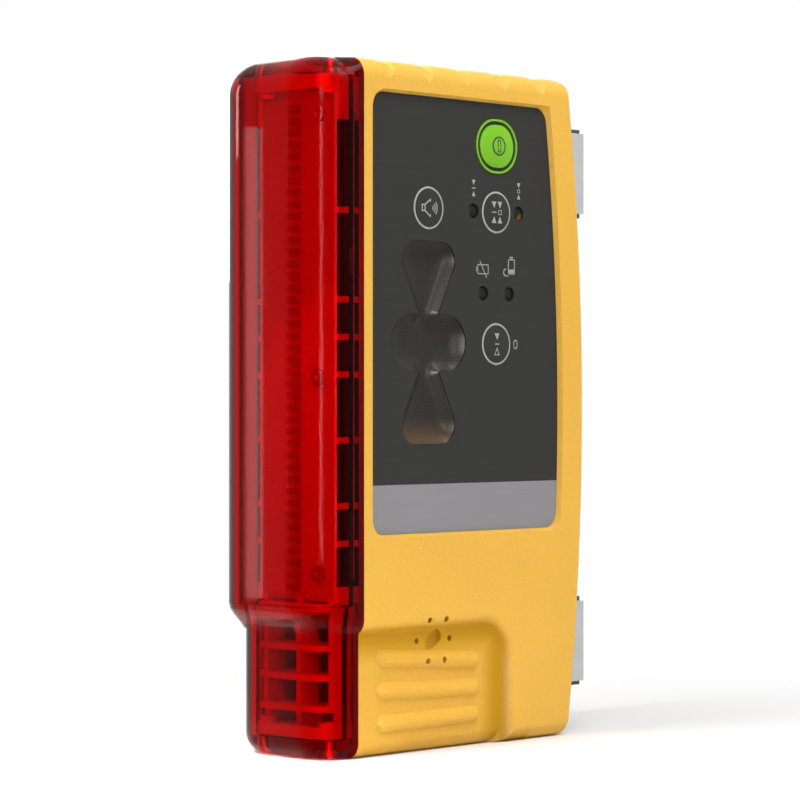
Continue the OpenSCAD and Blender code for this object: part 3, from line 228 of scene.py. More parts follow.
class Skin(Graph):
    """Short hand for one material: its Principled shader and the shared effects."""

    def __init__(self, name: str, effects: SharedEffects | None = None) -> None:
        """Makes the material with a plain Principled shader.

        Args:
            name: Name of the material.
            effects: The shared node groups, where it uses them.
        """
        self.material = bpy.data.materials.new(name)
        self.material.use_nodes = True
        super().__init__(self.material.node_tree)
        self.effects = effects
        self.shader = self.tree.nodes["Principled BSDF"]
        self.output = self.tree.nodes["Material Output"]

    def effect(self, group: Group, **values: float) -> dict[str, Socket]:
        """Places a shared effect with values for its inputs, and gives its outputs by name."""
        made = self.add("ShaderNodeGroup", values, node_tree=self.effects.trees[group])
        return {socket.name: socket for socket in made.outputs}

    def paint(self, **values: object) -> None:
        """Fills inputs of the Principled shader, with spaces in their names as underscores."""
        for key, value in values.items():
            self.feed(self.shader.inputs[key.replace("_", " ")], value)

    def emboss(self, height: Socket, depth: float, strength: float) -> None:
        """Bumps the skin, with a depth in metres and the share of it that shows."""
        bump = self.add("ShaderNodeBump", {"Height": height, "Distance": depth, "Strength": strength})
        self.feed(self.shader.inputs["Normal"], bump.outputs["Normal"])


@dataclass(frozen=True)
class Finish:
    """A surface finish that becomes one material."""

    name: str

    def make(self, effects: SharedEffects) -> bpy.types.Material:
        """Builds the material.

        Args:
            effects: The shared node groups.

        Returns:
            The material.
        """
        skin = Skin(self.name, effects)
        self.dress(skin)
        return skin.material

    def dress(self, skin: Skin) -> None:
        """Fills the material's nodes."""
        raise NotImplementedError


@dataclass(frozen=True)
class MouldedPlastic(Finish):
    """Moulded plastic or rubber with a fine mould texture."""

    low: Colour
    high: Colour
    roughness: float = 0.45
    cells: float = 2600.0
    drift: float = 16.0
    depth: float = 0.00001
    specular: float = 0.5
    speckle: float = 0.2

    def dress(self, skin: Skin) -> None:
        """Draws the mould grain.

        Args:
            skin: The new material.
        """
        grain = skin.effect(Group.GRAIN, Cells=self.cells, Drift=self.drift)
        fine = skin.maths("MULTIPLY", grain["Height"], self.speckle)
        slow = skin.maths("MULTIPLY", grain["Tone"], 1 - self.speckle)
        skin.paint(
            Base_Color=skin.blend(skin.maths("ADD", fine, slow), self.low, self.high),
            Roughness=skin.span(grain["Height"], self.roughness - UNEVEN, self.roughness + UNEVEN),
            Specular_IOR_Level=self.specular,
        )
        skin.emboss(grain["Height"], self.depth, strength=0.6)


@dataclass(frozen=True)
class ShellMoulding(Finish):
    """Yellow moulding: grained faces, and a grip recess that is smoother, with a deeper tone that is partly
    its own and partly painted shade towards its upper and right slopes.

    Each border is a range of distances from the recess's limit, over which the tone and its painted shade
    rise to their full share.
    """

    low: Colour
    high: Colour
    deep_tone_and_shade: Colour
    face_y: float
    floor_y: float
    recess_top: float
    recess_end: float
    top_border: Point = (0.022, 0.0165)
    end_border: Point = (0.0185, 0.0125)
    floor_share: float = 0.25
    grain_left: float = 0.25
    roughness: float = 0.42

    def dress(self, skin: Skin) -> None:
        """Draws the mould grain, and the recess's deeper tone with its painted shade.

        Args:
            skin: The new material.
        """
        grain = skin.effect(Group.GRAIN, Cells=1300.0, Drift=14.0)
        tone = skin.maths("MULTIPLY", skin.maths("ADD", grain["Height"], grain["Tone"]), 0.5)
        at = skin.axes()
        depth = skin.maths("ABSOLUTE", at["Y"])
        sunk = skin.span(depth, 0.0, 1.0, self.face_y, self.floor_y)
        below = skin.maths("LESS_THAN", at["Z"], self.recess_top)
        beside = skin.maths("LESS_THAN", at["X"], self.recess_end)
        upper = skin.span(at["Z"], 0.0, 1.0, *(self.recess_top - reach for reach in self.top_border))
        right = skin.span(at["X"], 0.0, 1.0, *(self.recess_end - reach for reach in self.end_border))
        border = skin.span(skin.maths("MAXIMUM", upper, right), self.floor_share, 1.0)
        inside = skin.maths("MULTIPLY", below, beside)
        # The recess's deeper tone is partly the smoother plastic's own colour and partly painted shade,
        # strongest towards its upper and right slopes.
        recess = skin.maths("MULTIPLY", skin.maths("MULTIPLY", sunk, border), inside)
        grained = skin.blend(tone, self.low, self.high)
        skin.paint(
            Base_Color=skin.blend(recess, grained, self.deep_tone_and_shade),
            Roughness=skin.span(grain["Height"], self.roughness - UNEVEN, self.roughness + UNEVEN),
            Specular_IOR_Level=0.14,
        )
        relief = skin.maths("MULTIPLY", grain["Height"], skin.span(recess, 1.0, self.grain_left))
        skin.emboss(relief, depth=0.00008, strength=0.9)


@dataclass(frozen=True)
class LadderMoulding(Finish):
    """Pale moulding of the receiver frame, with painted shade between the rungs on its outer rails, where
    the gaps into the housing fall dark.
    """

    low: Colour
    high: Colour
    shade: Colour
    rail_y: float
    rungs: tuple[float, ...]
    rung_h: float = 0.0016
    middle_share: float = 0.58
    reach_share: float = 0.7

    def dress(self, skin: Skin) -> None:
        """Draws the grain, and the painted shade by the distance to the nearest rung.

        Args:
            skin: The new material.
        """
        grain = skin.effect(Group.GRAIN, Cells=2600.0, Drift=16.0)
        at = skin.axes()
        near: object = 1.0
        for rung in self.rungs:
            near = skin.maths("MINIMUM", near, skin.away(at["Z"], rung + self.rung_h / 2))
        between = skin.maths("GREATER_THAN", near, self.rung_h / 2)
        outer = skin.maths("GREATER_THAN", skin.maths("ABSOLUTE", at["Y"]), self.rail_y)
        run = self.rungs[-1] - self.rungs[0]
        off = skin.away(at["Z"], self.rungs[0] + self.middle_share * run)
        inside = skin.maths("LESS_THAN", off, self.reach_share * run)
        # Painted shade on the outer rails between the rungs, standing for the dark gaps into the housing.
        gap_shade = skin.maths("MULTIPLY", skin.maths("MULTIPLY", between, outer), inside)
        pale = skin.blend(grain["Tone"], self.low, self.high)
        skin.paint(
            Base_Color=skin.blend(gap_shade, pale, self.shade), Roughness=skin.span(grain["Height"], 0.45, 0.6)
        )
        skin.emboss(grain["Height"], depth=0.00001, strength=0.5)


@dataclass(frozen=True)
class Patterned(Finish):
    """A finish whose tone, gloss and relief follow one pattern."""

    low: Colour
    high: Colour
    roughness: Point
    depth: float
    strength: float = 0.5
    specular: float = 0.5

    def pattern(self, skin: Skin) -> Socket:
        """Adds the pattern, which lies between 0 and 1."""
        raise NotImplementedError

    def dress(self, skin: Skin) -> None:
        """Draws the pattern.

        Args:
            skin: The new material.
        """
        pattern = self.pattern(skin)
        skin.paint(
            Base_Color=skin.blend(pattern, self.low, self.high),
            Roughness=skin.span(pattern, *self.roughness),
            Specular_IOR_Level=self.specular,
        )
        skin.emboss(pattern, self.depth, self.strength)


@dataclass(frozen=True)
class PrintedFilm(Patterned):
    """Overlay film with fine horizontal lines in its print."""

    roughness: Point = (0.4, 0.5)
    depth: float = 0.000002
    strength: float = 0.4
    specular: float = 0.14

    def pattern(self, skin: Skin) -> Socket:
        """Adds the lines of the print."""
        return skin.effect(Group.LINES, Lines=2600.0, Stretch=25.0, Upright=0.0)["Line"]


@dataclass(frozen=True)
class GroundFerrite(Patterned):
    """Dark ground ferrite with bright specks."""

    roughness: Point = (0.4, 0.65)
    depth: float = 0.00002

    def pattern(self, skin: Skin) -> Socket:
        """Adds the specks."""
        return skin.effect(Group.SPECKS, Specks=2600.0)["Speck"]


@dataclass(frozen=True)
class LacqueredBoard(Patterned):
    """Circuit board: lacquer over a grid of tracks."""

    roughness: Point = (0.3, 0.5)
    depth: float = 0.00003
    pitch: float = 0.0021

    def pattern(self, skin: Skin) -> Socket:
        """Adds a brick pattern of tracks.

        Args:
            skin: The new material.

        Returns:
            Mask of the tracks.
        """
        at = skin.axes()
        flat = skin.add("ShaderNodeCombineXYZ", {0: skin.maths("ADD", at["X"], at["Y"]), 1: at["Z"]})
        mortar = {"Scale": 1 / self.pitch, "Mortar Size": 0.06, "Mortar Smooth": 0.2}
        return skin.add("ShaderNodeTexBrick", {"Vector": flat.outputs[0], **mortar}).outputs["Fac"]


@dataclass(frozen=True)
class ClearRed(Finish):
    """Deep red clear plastic of the lens, whose end faces beyond bond_x are bonded to the housing."""

    tint: Colour
    depth_tint: Colour
    bond: Colour
    bond_x: float
    density: float = 200.0
    index: float = 1.2
    rim: float = 0.06
    rim_facing: Point = (0.31, 0.56)
    rim_lean: float = -0.6
    drift_share: float = 0.86
    gloss: Colour = (0.1, 0.05, 0.06)
    flat: float = 0.999

    def dress(self, skin: Skin) -> None:
        """Draws clear plastic that darkens with depth and at its upright rims, and passes shadow rays.

        Args:
            skin: The new material.
        """
        grain = skin.effect(Group.GRAIN, Cells=60.0, Drift=14.0)
        plain = skin.blend(grain["Tone"], tuple(self.drift_share * c for c in self.tint), self.tint)
        facing = skin.add("ShaderNodeLayerWeight", {"Blend": 0.5}).outputs["Facing"]
        edge = skin.span(facing, 0.0, 1.0, *self.rim_facing)
        normal = skin.axes(skin.place("Normal"))
        upright = skin.span(skin.maths("ABSOLUTE", normal["Z"]), 1.0, self.rim_lean)
        rims = skin.maths("MULTIPLY", edge, skin.maths("MAXIMUM", upright, 0.0))
        skin.paint(
            Base_Color=skin.blend(rims, plain, tuple(self.rim * c for c in self.tint)),
            Roughness=skin.span(grain["Height"], 0.015, 0.045),
            IOR=self.index,
            Transmission_Weight=1.0,
            Specular_Tint=self.gloss,
        )
        ends = skin.maths("GREATER_THAN", skin.maths("ABSOLUTE", normal["X"]), self.flat)
        seated = skin.maths("GREATER_THAN", skin.axes()["X"], self.bond_x)
        bond = skin.add("ShaderNodeBsdfDiffuse", {"Color": self.bond})
        body = skin.either(skin.maths("MULTIPLY", ends, seated), skin.shader, bond)
        shadow = skin.add("ShaderNodeLightPath").outputs["Is Shadow Ray"]
        passed = skin.add("ShaderNodeBsdfTransparent", {"Color": self.tint})
        depth = skin.add("ShaderNodeVolumeAbsorption", {"Color": self.depth_tint, "Density": self.density})
        skin.feed(skin.output.inputs["Surface"], skin.either(shadow, body, passed).outputs[0])
        skin.feed(skin.output.inputs["Volume"], depth.outputs[0])


@dataclass(frozen=True)
class SmokedWindow(Finish):
    """Smoked display window with a fine dot mesh printed behind it and a painted brownish reflection at its
    foot.
    """

    dark: Colour
    dot: Colour
    reflection_tone: Colour
    foot: float
    pitch: float = 0.0009
    foot_reflection: Point = (0.007, -0.001)
    reflection_share: float = 0.8
    cloud_share: float = 0.55

    def dress(self, skin: Skin) -> None:
        """Draws a crossed dot mesh, clouded by the slow drift of the grain, and a painted brownish
        reflection that grows towards the foot.

        Args:
            skin: The new material.
        """
        place = skin.place()
        slant = {"Vector": place, "Rotation": (0, math.radians(45), 0)}
        turned = skin.axes(skin.add("ShaderNodeMapping", slant).outputs[0])
        wave = 2 * math.pi / self.pitch
        rows, columns = (skin.maths("SINE", skin.maths("MULTIPLY", turned[axis], wave)) for axis in "XZ")
        dots = skin.span(skin.maths("MULTIPLY", rows, columns), 0.3, 1.2)
        grain = skin.effect(Group.GRAIN, Cells=900.0, Drift=45.0)
        mesh = skin.blend(dots, self.dark, self.dot)
        cloud = tuple(self.cloud_share * c for c in self.dot)
        clouded = skin.blend(skin.span(grain["Tone"], -0.5, 0.7), mesh, cloud)
        # Painted brownish reflection over the lowest few millimetres, strongest at the window's foot.
        ends = (self.foot + reach for reach in self.foot_reflection)
        foot_reflection = skin.span(skin.axes(place)["Z"], 0.0, self.reflection_share, *ends)
        skin.paint(
            Base_Color=skin.blend(foot_reflection, clouded, self.reflection_tone),
            Roughness=skin.span(dots, 0.3, 0.42),
            Specular_IOR_Level=0.14,
        )
        skin.emboss(dots, depth=0.00001, strength=0.35)


@dataclass(frozen=True)
class PlatedMetal(Finish):
    """Plated or brushed metal."""

    low: Colour
    high: Colour
    roughness: float = 0.3
    upright: float = 0.0

    def dress(self, skin: Skin) -> None:
        """Draws brushed lines and specks.

        Args:
            skin: The new material.
        """
        lines = skin.effect(Group.LINES, Lines=5000.0, Stretch=120.0, Upright=self.upright)["Line"]
        specks = skin.effect(Group.SPECKS, Specks=1800.0)["Speck"]
        skin.paint(
            Base_Color=skin.blend(lines, self.low, self.high),
            Roughness=skin.span(specks, self.roughness - UNEVEN, self.roughness + 2 * UNEVEN),
            Metallic=1.0,
        )
        skin.emboss(lines, depth=0.000004, strength=0.5)


@dataclass(frozen=True)
class StatusLamp(Finish):
    """Dark tinted lamps, of which the one at the lit place has painted lamplight at its foot, in its base
    colour.
    """

    dark: Colour
    amber: Colour
    lit: Vector
    reach: float = 0.0019
    core_share: float = 0.3
    drift_share: float = 0.7

    def dress(self, skin: Skin) -> None:
        """Draws the painted lamplight by the distance to the lit place.

        Args:
            skin: The new material.
        """
        ends = {0: skin.place(), 1: tuple(self.lit)}
        away = skin.add("ShaderNodeVectorMath", ends, operation="DISTANCE").outputs["Value"]
        # Painted lamplight of the lit lamp: a base colour that fades with the distance from the lit place,
        # with no emission.
        near = skin.span(away, 0.0, 1.0, self.reach, self.core_share * self.reach)
        grain = skin.effect(Group.GRAIN, Cells=700.0, Drift=300.0)
        amber = skin.blend(grain["Tone"], tuple(self.drift_share * c for c in self.amber), self.amber)
        skin.paint(
            Base_Color=skin.blend(near, self.dark, amber),
            Roughness=skin.span(grain["Height"], 0.35, 0.5),
            Specular_IOR_Level=0.12,
        )


@dataclass(frozen=True)
class CellJacket(Finish):
    """Printed jacket of a cell: a plain dark body with bare metal at its ends."""

    body: Colour
    band: Colour
    middle: float
    reach: float
    drift_share: float = 1.3

    def dress(self, skin: Skin) -> None:
        """Draws the ends by the distance from the cell's middle.

        Args:
            skin: The new material.
        """
        off = skin.away(skin.axes()["Z"], self.middle)
        end = skin.maths("GREATER_THAN", off, self.reach)
        grain = skin.effect(Group.GRAIN, Cells=300.0, Drift=40.0)
        plain = skin.blend(grain["Tone"], self.body, tuple(self.drift_share * c for c in self.body))
        skin.paint(
            Base_Color=skin.blend(end, plain, self.band),
            Metallic=end,
            Roughness=skin.span(grain["Height"], 0.25, 0.35),
        )


@dataclass
class InkMarks:
    """Printed marks on one flat or domed face that looks to -Y, drawn in mm about a centre."""

    name: str
    body: str
    centre: Point
    face_y: float
    crown_r: float = 0.0
    lift: float = 0.035
    sink: float = 0.12
    arc_step: float = 6.0
    least_steps: int = 6
    bm: bmesh.types.BMesh = field(default_factory=bmesh.new)

    def _place(self, u: float, v: float, turn: float = 0.0) -> Matrix:
        """Matrix of a mark right of and above the centre, turned about the face's normal in radians."""
        return Matrix.Translation((u, (self.sink - self.lift) / 2, v)) @ Matrix.Rotation(-turn, 4, "Y")

    def bar(self, start: Point, end: Point, width: float) -> None:
        """Draws a straight stroke.

        Args:
            start: One end of its centre line.
            end: The other end.
            width: Stroke width.
        """
        du, dv = end[0] - start[0], end[1] - start[1]
        size = Matrix.Diagonal((math.hypot(du, dv) + width, self.lift + self.sink, width, 1))
        middle = self._place((start[0] + end[0]) / 2, (start[1] + end[1]) / 2, math.atan2(dv, du))
        bmesh.ops.create_cube(self.bm, size=1, matrix=middle @ size)

    def outline(self, points: list[Point], width: float) -> None:
        """Draws strokes from point to point and back to the first."""
        for start, end in zip(points, points[1:] + points[:1]):
            self.bar(start, end, width)

    def rectangle(self, low: Point, high: Point, width: float) -> None:
        """Draws a rectangle in outline between two opposite corners."""
        self.outline([low, (high[0], low[1]), high, (low[0], high[1])], width)

    def triangle(self, centre: Point, width: float, height: float, up: bool) -> None:
        """Draws a filled triangle.

        Args:
            centre: Middle of its height.
            width: Width of its base.
            height: Height from base to tip.
            up: Whether the tip is at the top.
        """
        sign = 1 if up else -1
        flat = Matrix.Rotation(math.radians(90), 4, "X")
        size = Matrix.Diagonal((width / math.sqrt(3), 1, sign * height / 1.5, 1))
        spot = self._place(centre[0], centre[1] - sign * height / 6)
        bmesh.ops.create_cone(
            self.bm, cap_ends=True, segments=3, radius1=1, radius2=1, depth=self.lift + self.sink,
            matrix=spot @ size @ flat,
        )

    def arc(self, centre: Point, radius: float, width: float, start: float = 0, end: float = 360) -> None:
        """Draws a ring or a part of one.

        Args:
            centre: Centre of the ring.
            radius: Radius of the stroke's centre line.
            width: Stroke width.
            start: First angle in degrees, from the right and counted anticlockwise.
            end: Last angle.
        """
        full = abs(end - start) >= 360
        inner, outer = radius - width / 2, radius + width / 2
        corners = [(inner, -self.lift), (outer, -self.lift), (outer, self.sink), (inner, self.sink)]
        verts = [self.bm.verts.new((r, y, 0)) for r, y in corners]
        edges = [self.bm.edges.new((verts[i], verts[(i + 1) % 4])) for i in range(4)]
        turn = Matrix.Rotation(-math.radians(start), 3, "Y")
        bmesh.ops.rotate(self.bm, verts=verts, cent=(0, 0, 0), matrix=turn)
        before = set(self.bm.verts) - set(verts)
        bmesh.ops.spin(
            self.bm, geom=verts + edges, cent=(0, 0, 0), axis=(0, -1, 0), angle=math.radians(end - start),
            steps=max(self.least_steps, round(abs(end - start) / self.arc_step)), use_merge=full,
        )
        made = [v for v in self.bm.verts if v not in before]
        if not full:
            rim = {e for v in made for e in v.link_edges if e.is_boundary}
            bmesh.ops.holes_fill(self.bm, edges=list(rim), sides=4)
        bmesh.ops.translate(self.bm, vec=(centre[0], 0, centre[1]), verts=made)

    def nought(self, half: float, radius: float, round_w: float, side_w: float) -> None:
        """Draws a tall nought about the centre.

        Args:
            half: Half the height of its straight sides.
            radius: Radius of its round ends.
            round_w: Stroke width of the ends.
            side_w: Stroke width of the sides.
        """
        self.arc((0, half), radius, round_w, 0, 180)
        self.arc((0, -half), radius, round_w, 180, 360)
        for u in (-radius, radius):
            self.bar((u, -half), (u, half), side_w)

    def finish(self, material: bpy.types.Material, slot: str) -> None:
        """Lays the marks on their face and makes them a piece.

        Args:
            material: The ink.
            slot: The record's material slot. Not used.
        """
        if self.crown_r:
            for vert in self.bm.verts:
                vert.co.y += (vert.co.x**2 + vert.co.z**2) / (2 * self.crown_r)
        place = (self.centre[0], self.face_y, self.centre[1])
        bmesh.ops.translate(self.bm, vec=place, verts=self.bm.verts)
        bmesh.ops.scale(self.bm, vec=(MM, MM, MM), verts=self.bm.verts)
        bmesh.ops.recalc_face_normals(self.bm, faces=self.bm.faces)
        new_piece(self.name, self.bm, material, self.body)


def new_piece(
    name: str, bm: bmesh.types.BMesh, material: bpy.types.Material, body: str
) -> bpy.types.Object:
    """Makes a finished mesh a piece that rides on a body.

    Args:
        name: Name of the piece.
        bm: Its mesh, in the frame and in metres. It is freed.
        material: Its finish.
        body: The body that it rides on.

    Returns:
        The piece.
    """
    mesh = bpy.data.meshes.new(name)
    bm.to_mesh(mesh)
    bm.free()
    mesh.materials.append(material)
    piece = bpy.data.objects.new(name, mesh)
    bpy.context.scene.collection.objects.link(piece)
    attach(piece, body)
    LOG.info("%s: %d faces on %s", name, len(mesh.polygons), body)
    return piece


@dataclass
class DisplayWindow:
    """Smoked window with one smooth trough that follows its waisted outline, in mm about its middle."""

    centre: Point
    front_y: float
    back_y: float
    half_height: float
    lobe_w: float = 20.0
    lobe_r: float = 5.0
    bar_w: float = 28.2
    bar_h: float = 14.8
    bar_r: float = 6.2
    waist_w: float = 8.0
    soft_r: float = 0.7
    round_steps: int = 10
    rim_w: float = 3.0
    rim_steps: int = 12
    floor_cuts: int = 9
    dish_w: float = 5.2
    dish_depth: float = 2.6
    rim_pitch: float = 0.1
    least: float = 0.001

    def _slope_corner(self) -> Point:
        """Corner where a lobe's slanted side would meet its end edge.

        Returns:
            Places to the right and up.
        """
        foot = Vector((self.waist_w / 2, self.bar_h / 2))
        ball = Vector((self.lobe_w / 2 - self.lobe_r, self.half_height - self.lobe_r))
        reach = ball - foot
        lean = math.atan2(reach.y, reach.x) - math.asin(self.lobe_r / reach.length)
        return foot.x + (self.half_height - foot.y) / math.tan(lean), self.half_height

    def _round(self, bm: bmesh.types.BMesh, spot: Point, run: float) -> None:
        """Rounds a corner of the outline and its three mirror images.

        Args:
            bm: The outline.
            spot: The corner in the upper right quarter.
            run: Length that the rounding takes of each side.
        """
        slack = 10 * self.least
        corners = [
            v for v in bm.verts if abs(abs(v.co.x) - spot[0]) < slack and abs(abs(v.co.z) - spot[1]) < slack
        ]
        bmesh.ops.bevel(
            bm, geom=corners, offset=run, offset_type="OFFSET", affect="VERTICES", segments=self.round_steps,
            profile=0.5, material=-1, clamp_overlap=False,
        )

    def _sink(self, bm: bmesh.types.BMesh, rim: list[Vector]) -> None:
        """Sinks the front into a trough that deepens away from the rim.

        A point's distance from the rim is taken softly, from the whole rim, so that the trough has no ridge.

        Args:
            bm: The window.
            rim: Corners of the front's outline, in order.
        """
        spots: list[Vector] = []
        length = 0.0
        for a, b in zip(rim, rim[1:] + rim[:1]):
            side = (b - a).length
            count = 1 + int(side / self.rim_pitch)
            spots += [a.lerp(b, i / count) for i in range(count)]
            length += side
        line = np.array([(spot.x, spot.z) for spot in spots])
        step = length / len(spots)
        for vert in bm.verts:
            if abs(vert.co.y) < self.least:
                near = np.hypot(line[:, 0] - vert.co.x, line[:, 1] - vert.co.z)
                away = math.sqrt(2 / float(np.sum(step / np.maximum(near, self.least) ** 3)))
                vert.co.y += self.dish_depth * math.sin(math.pi / 2 * min(1.0, away / self.dish_w))
        bm.normal_update()

    def build(self, material: bpy.types.Material) -> None:
        """Models the window and puts it in the place of its solid.

        Args:
            material: The smoked finish.
        """
        bm = bmesh.new()
        top = self._slope_corner()
        waist = (self.waist_w / 2, self.bar_h / 2)
        end = (self.bar_w / 2, self.bar_h / 2)
        quarter = [top, waist, end]
        right = quarter + [(u, -w) for u, w in reversed(quarter)]
        outline = right + [(-u, w) for u, w in reversed(right)]
        bm.faces.new([bm.verts.new((u, 0, w)) for u, w in outline])
        self._round(bm, top, top[0] - self.lobe_w / 2 + self.lobe_r)
        self._round(bm, end, self.bar_r)
        self._round(bm, waist, self.soft_r)
        pushed = bmesh.ops.extrude_face_region(bm, geom=list(bm.faces))["geom"]
        back = [v for v in pushed if isinstance(v, bmesh.types.BMVert)]
        bmesh.ops.translate(bm, vec=(0, self.back_y - self.front_y, 0), verts=back)
        bmesh.ops.recalc_face_normals(bm, faces=bm.faces)
        front = [f for f in bm.faces if f.normal.y < -0.9]
        for edge in front[0].edges:
            edge.smooth = False
        rim = [v.co.copy() for v in front[0].verts]
        for _ in range(self.rim_steps):
            bmesh.ops.inset_region(
                bm, faces=front, thickness=self.rim_w / self.rim_steps, use_even_offset=True,
                use_boundary=True,
            )
        floor = bmesh.ops.triangulate(bm, faces=front)["faces"]
        inside = {e for f in floor for e in f.edges}
        bmesh.ops.subdivide_edges(bm, edges=list(inside), cuts=self.floor_cuts, use_grid_fill=True)
        self._sink(bm, rim)
        for face in bm.faces:
            face.smooth = face.normal.y < -0.3
        bmesh.ops.translate(bm, vec=(self.centre[0], self.front_y, self.centre[1]), verts=bm.verts)
        bmesh.ops.scale(bm, vec=(MM, MM, MM), verts=bm.verts)
        piece = new_piece("display_trough", bm, material, "housing")
        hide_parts("display_window")


@dataclass
class Keypad:
    """Printed marks of the keypad face, in mm in the frame."""

    pale: bpy.types.Material
    dark: bpy.types.Material
    panel_y: float
    key_front: float
    power_front: float
    power: Point
    volume: Point
    precision: Point
    zero: Point
    precision_lamps: tuple[Point, Point]
    battery_lamps: tuple[Point, Point]
    key_r: float = 5.65
    key_crown_r: float = 40.0
    power_crown_r: float = 22.0
    ring_w: float = 0.5
    ring_inset: float = 0.05
    stroke: float = 0.34
    thin_stroke: float = 0.28
    column_h: float = 2.9
    small_column_h: float = 2.2
    column_lift: float = 6.1
    ink: str = "band"

    def build(self) -> None:
        """Draws every mark."""
        self._power()
        self._volume()
        self._precision()
        self._zero()
        self._lamp_marks()
        self._battery_marks()

    def _key_marks(self, name: str, body: str, centre: Point) -> InkMarks:
        """Starts the marks on a round key with the ring at its rim.

        Args:
            name: Name of the marks.
            body: The key's body.
            centre: Middle of the key.

        Returns:
            The marks, to draw on.
        """
        marks = InkMarks(name, body, centre, self.key_front, self.key_crown_r)
        marks.arc((0, 0), self.key_r - self.ring_w / 2 - self.ring_inset, self.ring_w)
        return marks

    def _power(self) -> None:
        """Ring and nought of the power key."""
        marks = InkMarks("power_mark", "power_key", self.power, self.power_front, self.power_crown_r)
        marks.arc((0, 0), 2.35, 0.55)
        marks.nought(1.05, 0.5, 0.42, 0.4)
        marks.finish(self.dark, "key")

    def _volume(self) -> None:
        """Loudspeaker with three waves."""
        marks = self._key_marks("volume_marks", "volume_key", self.volume)
        back, neck, mouth, throat_h, mouth_h = -2.7, -1.7, 0.3, 0.8, 2.2
        lower = [(back, -throat_h), (neck, -throat_h), (mouth, -mouth_h)]
        marks.outline(lower + [(u, -v) for u, v in reversed(lower)], self.stroke)
        marks.bar((neck, -throat_h), (neck, throat_h), self.stroke)
        for radius, reach in ((1.2, 30), (2.0, 33), (2.8, 35)):
            marks.arc((0.1, 0), radius, self.stroke, -reach, reach)
        marks.finish(self.pale, self.ink)

    @staticmethod
    def _column(marks: InkMarks, middle: Point, size: float, fine: bool, open_tip: bool = False) -> None:
        """Two triangles that point at a dash or a small square.

        Args:
            marks: Where the marks go.
            middle: Places to the right and up.
            size: Half height of the column, which all its parts follow.
            fine: Whether the middle is a square.
            open_tip: Whether the lower triangle is drawn in outline.
        """
        u, v = middle
        width, height = 0.62 * size, 0.62 * size
        marks.triangle((u, v + 0.69 * size), width, height, up=False)
        if open_tip:
            low, top = v - size, v - 0.38 * size
            marks.outline([(u - width / 2, low), (u + width / 2, low), (u, top)], 0.24)
        else:
            marks.triangle((u, v - 0.69 * size), width, height, up=True)
        if fine:
            half = 0.19 * size
            marks.rectangle((u - half, v - half), (u + half, v + half), 0.2)
        else:
            marks.bar((u - 0.24 * size, v), (u + 0.24 * size, v), 0.3)

    def _precision(self) -> None:
        """Coarse and fine columns side by side."""
        marks = self._key_marks("precision_marks", "precision_key", self.precision)
        for u, fine in ((-1.15, False), (1.15, True)):
            self._column(marks, (u, 0), self.column_h, fine)
        marks.finish(self.pale, self.ink)

    def _zero(self) -> None:
        """Single column of the zero key, and a plain nought beside it."""
        marks = self._key_marks("zero_marks", "zero_key", self.zero)
        self._column(marks, (0, 0), self.column_h, fine=False, open_tip=True)
        marks.finish(self.pale, self.ink)
        beside = (self.zero[0] + 7.6, self.zero[1])
        nought = InkMarks("nought_mark", "housing", beside, self.panel_y)
        nought.nought(0.5, 0.62, 0.3, 0.26)
        nought.finish(self.pale, self.ink)

    def _lamp_marks(self) -> None:
        """Columns above the two precision lamps."""
        marks = InkMarks("lamp_marks", "housing", (0, 0), self.panel_y)
        for (u, v), fine in zip(self.precision_lamps, (False, True)):
            self._column(marks, (u, v + self.column_lift), self.small_column_h, fine)
        marks.finish(self.pale, self.ink)

    def _battery_marks(self) -> None:
        """A lying cell crossed by a stroke, and a standing cell with a lead."""
        marks = InkMarks("battery_marks", "housing", (0, 0), self.panel_y)
        (u, row), (right, _) = self.battery_lamps
        v = row + 6.4
        marks.rectangle((u - 2.2, v - 1.2), (u + 1.9, v + 1.2), self.thin_stroke)
        marks.bar((u - 2.7, v - 0.5), (u - 2.7, v + 0.5), self.thin_stroke)
        marks.bar((u - 1.3, v + 2.1), (u + 1.2, v - 2.1), self.thin_stroke)
        u, v = right + 0.9, row + 7.4
        marks.rectangle((u - 1.2, v - 1.9), (u + 1.2, v + 1.9), self.thin_stroke)
        marks.bar((u - 0.45, v + 2.5), (u + 0.45, v + 2.5), 0.4)
        marks.bar((u - 0.7, v - 1.2), (u + 0.7, v - 1.2), 0.9)
        marks.arc((u - 2.2, v - 1.6), 0.9, self.thin_stroke, 80, 270)
        marks.bar((u - 2.2, v - 2.5), (u - 1.3, v - 2.5), self.thin_stroke)
        marks.finish(self.pale, self.ink)


@dataclass(frozen=True)
class Lamp:
    """A rectangular soft lamp, in metres and watts, that faces a point or the object's middle."""

    name: str
    place: Place
    size: Point
    power: float
    shine: Shine = Shine.ALL
    aim: Place | None = None


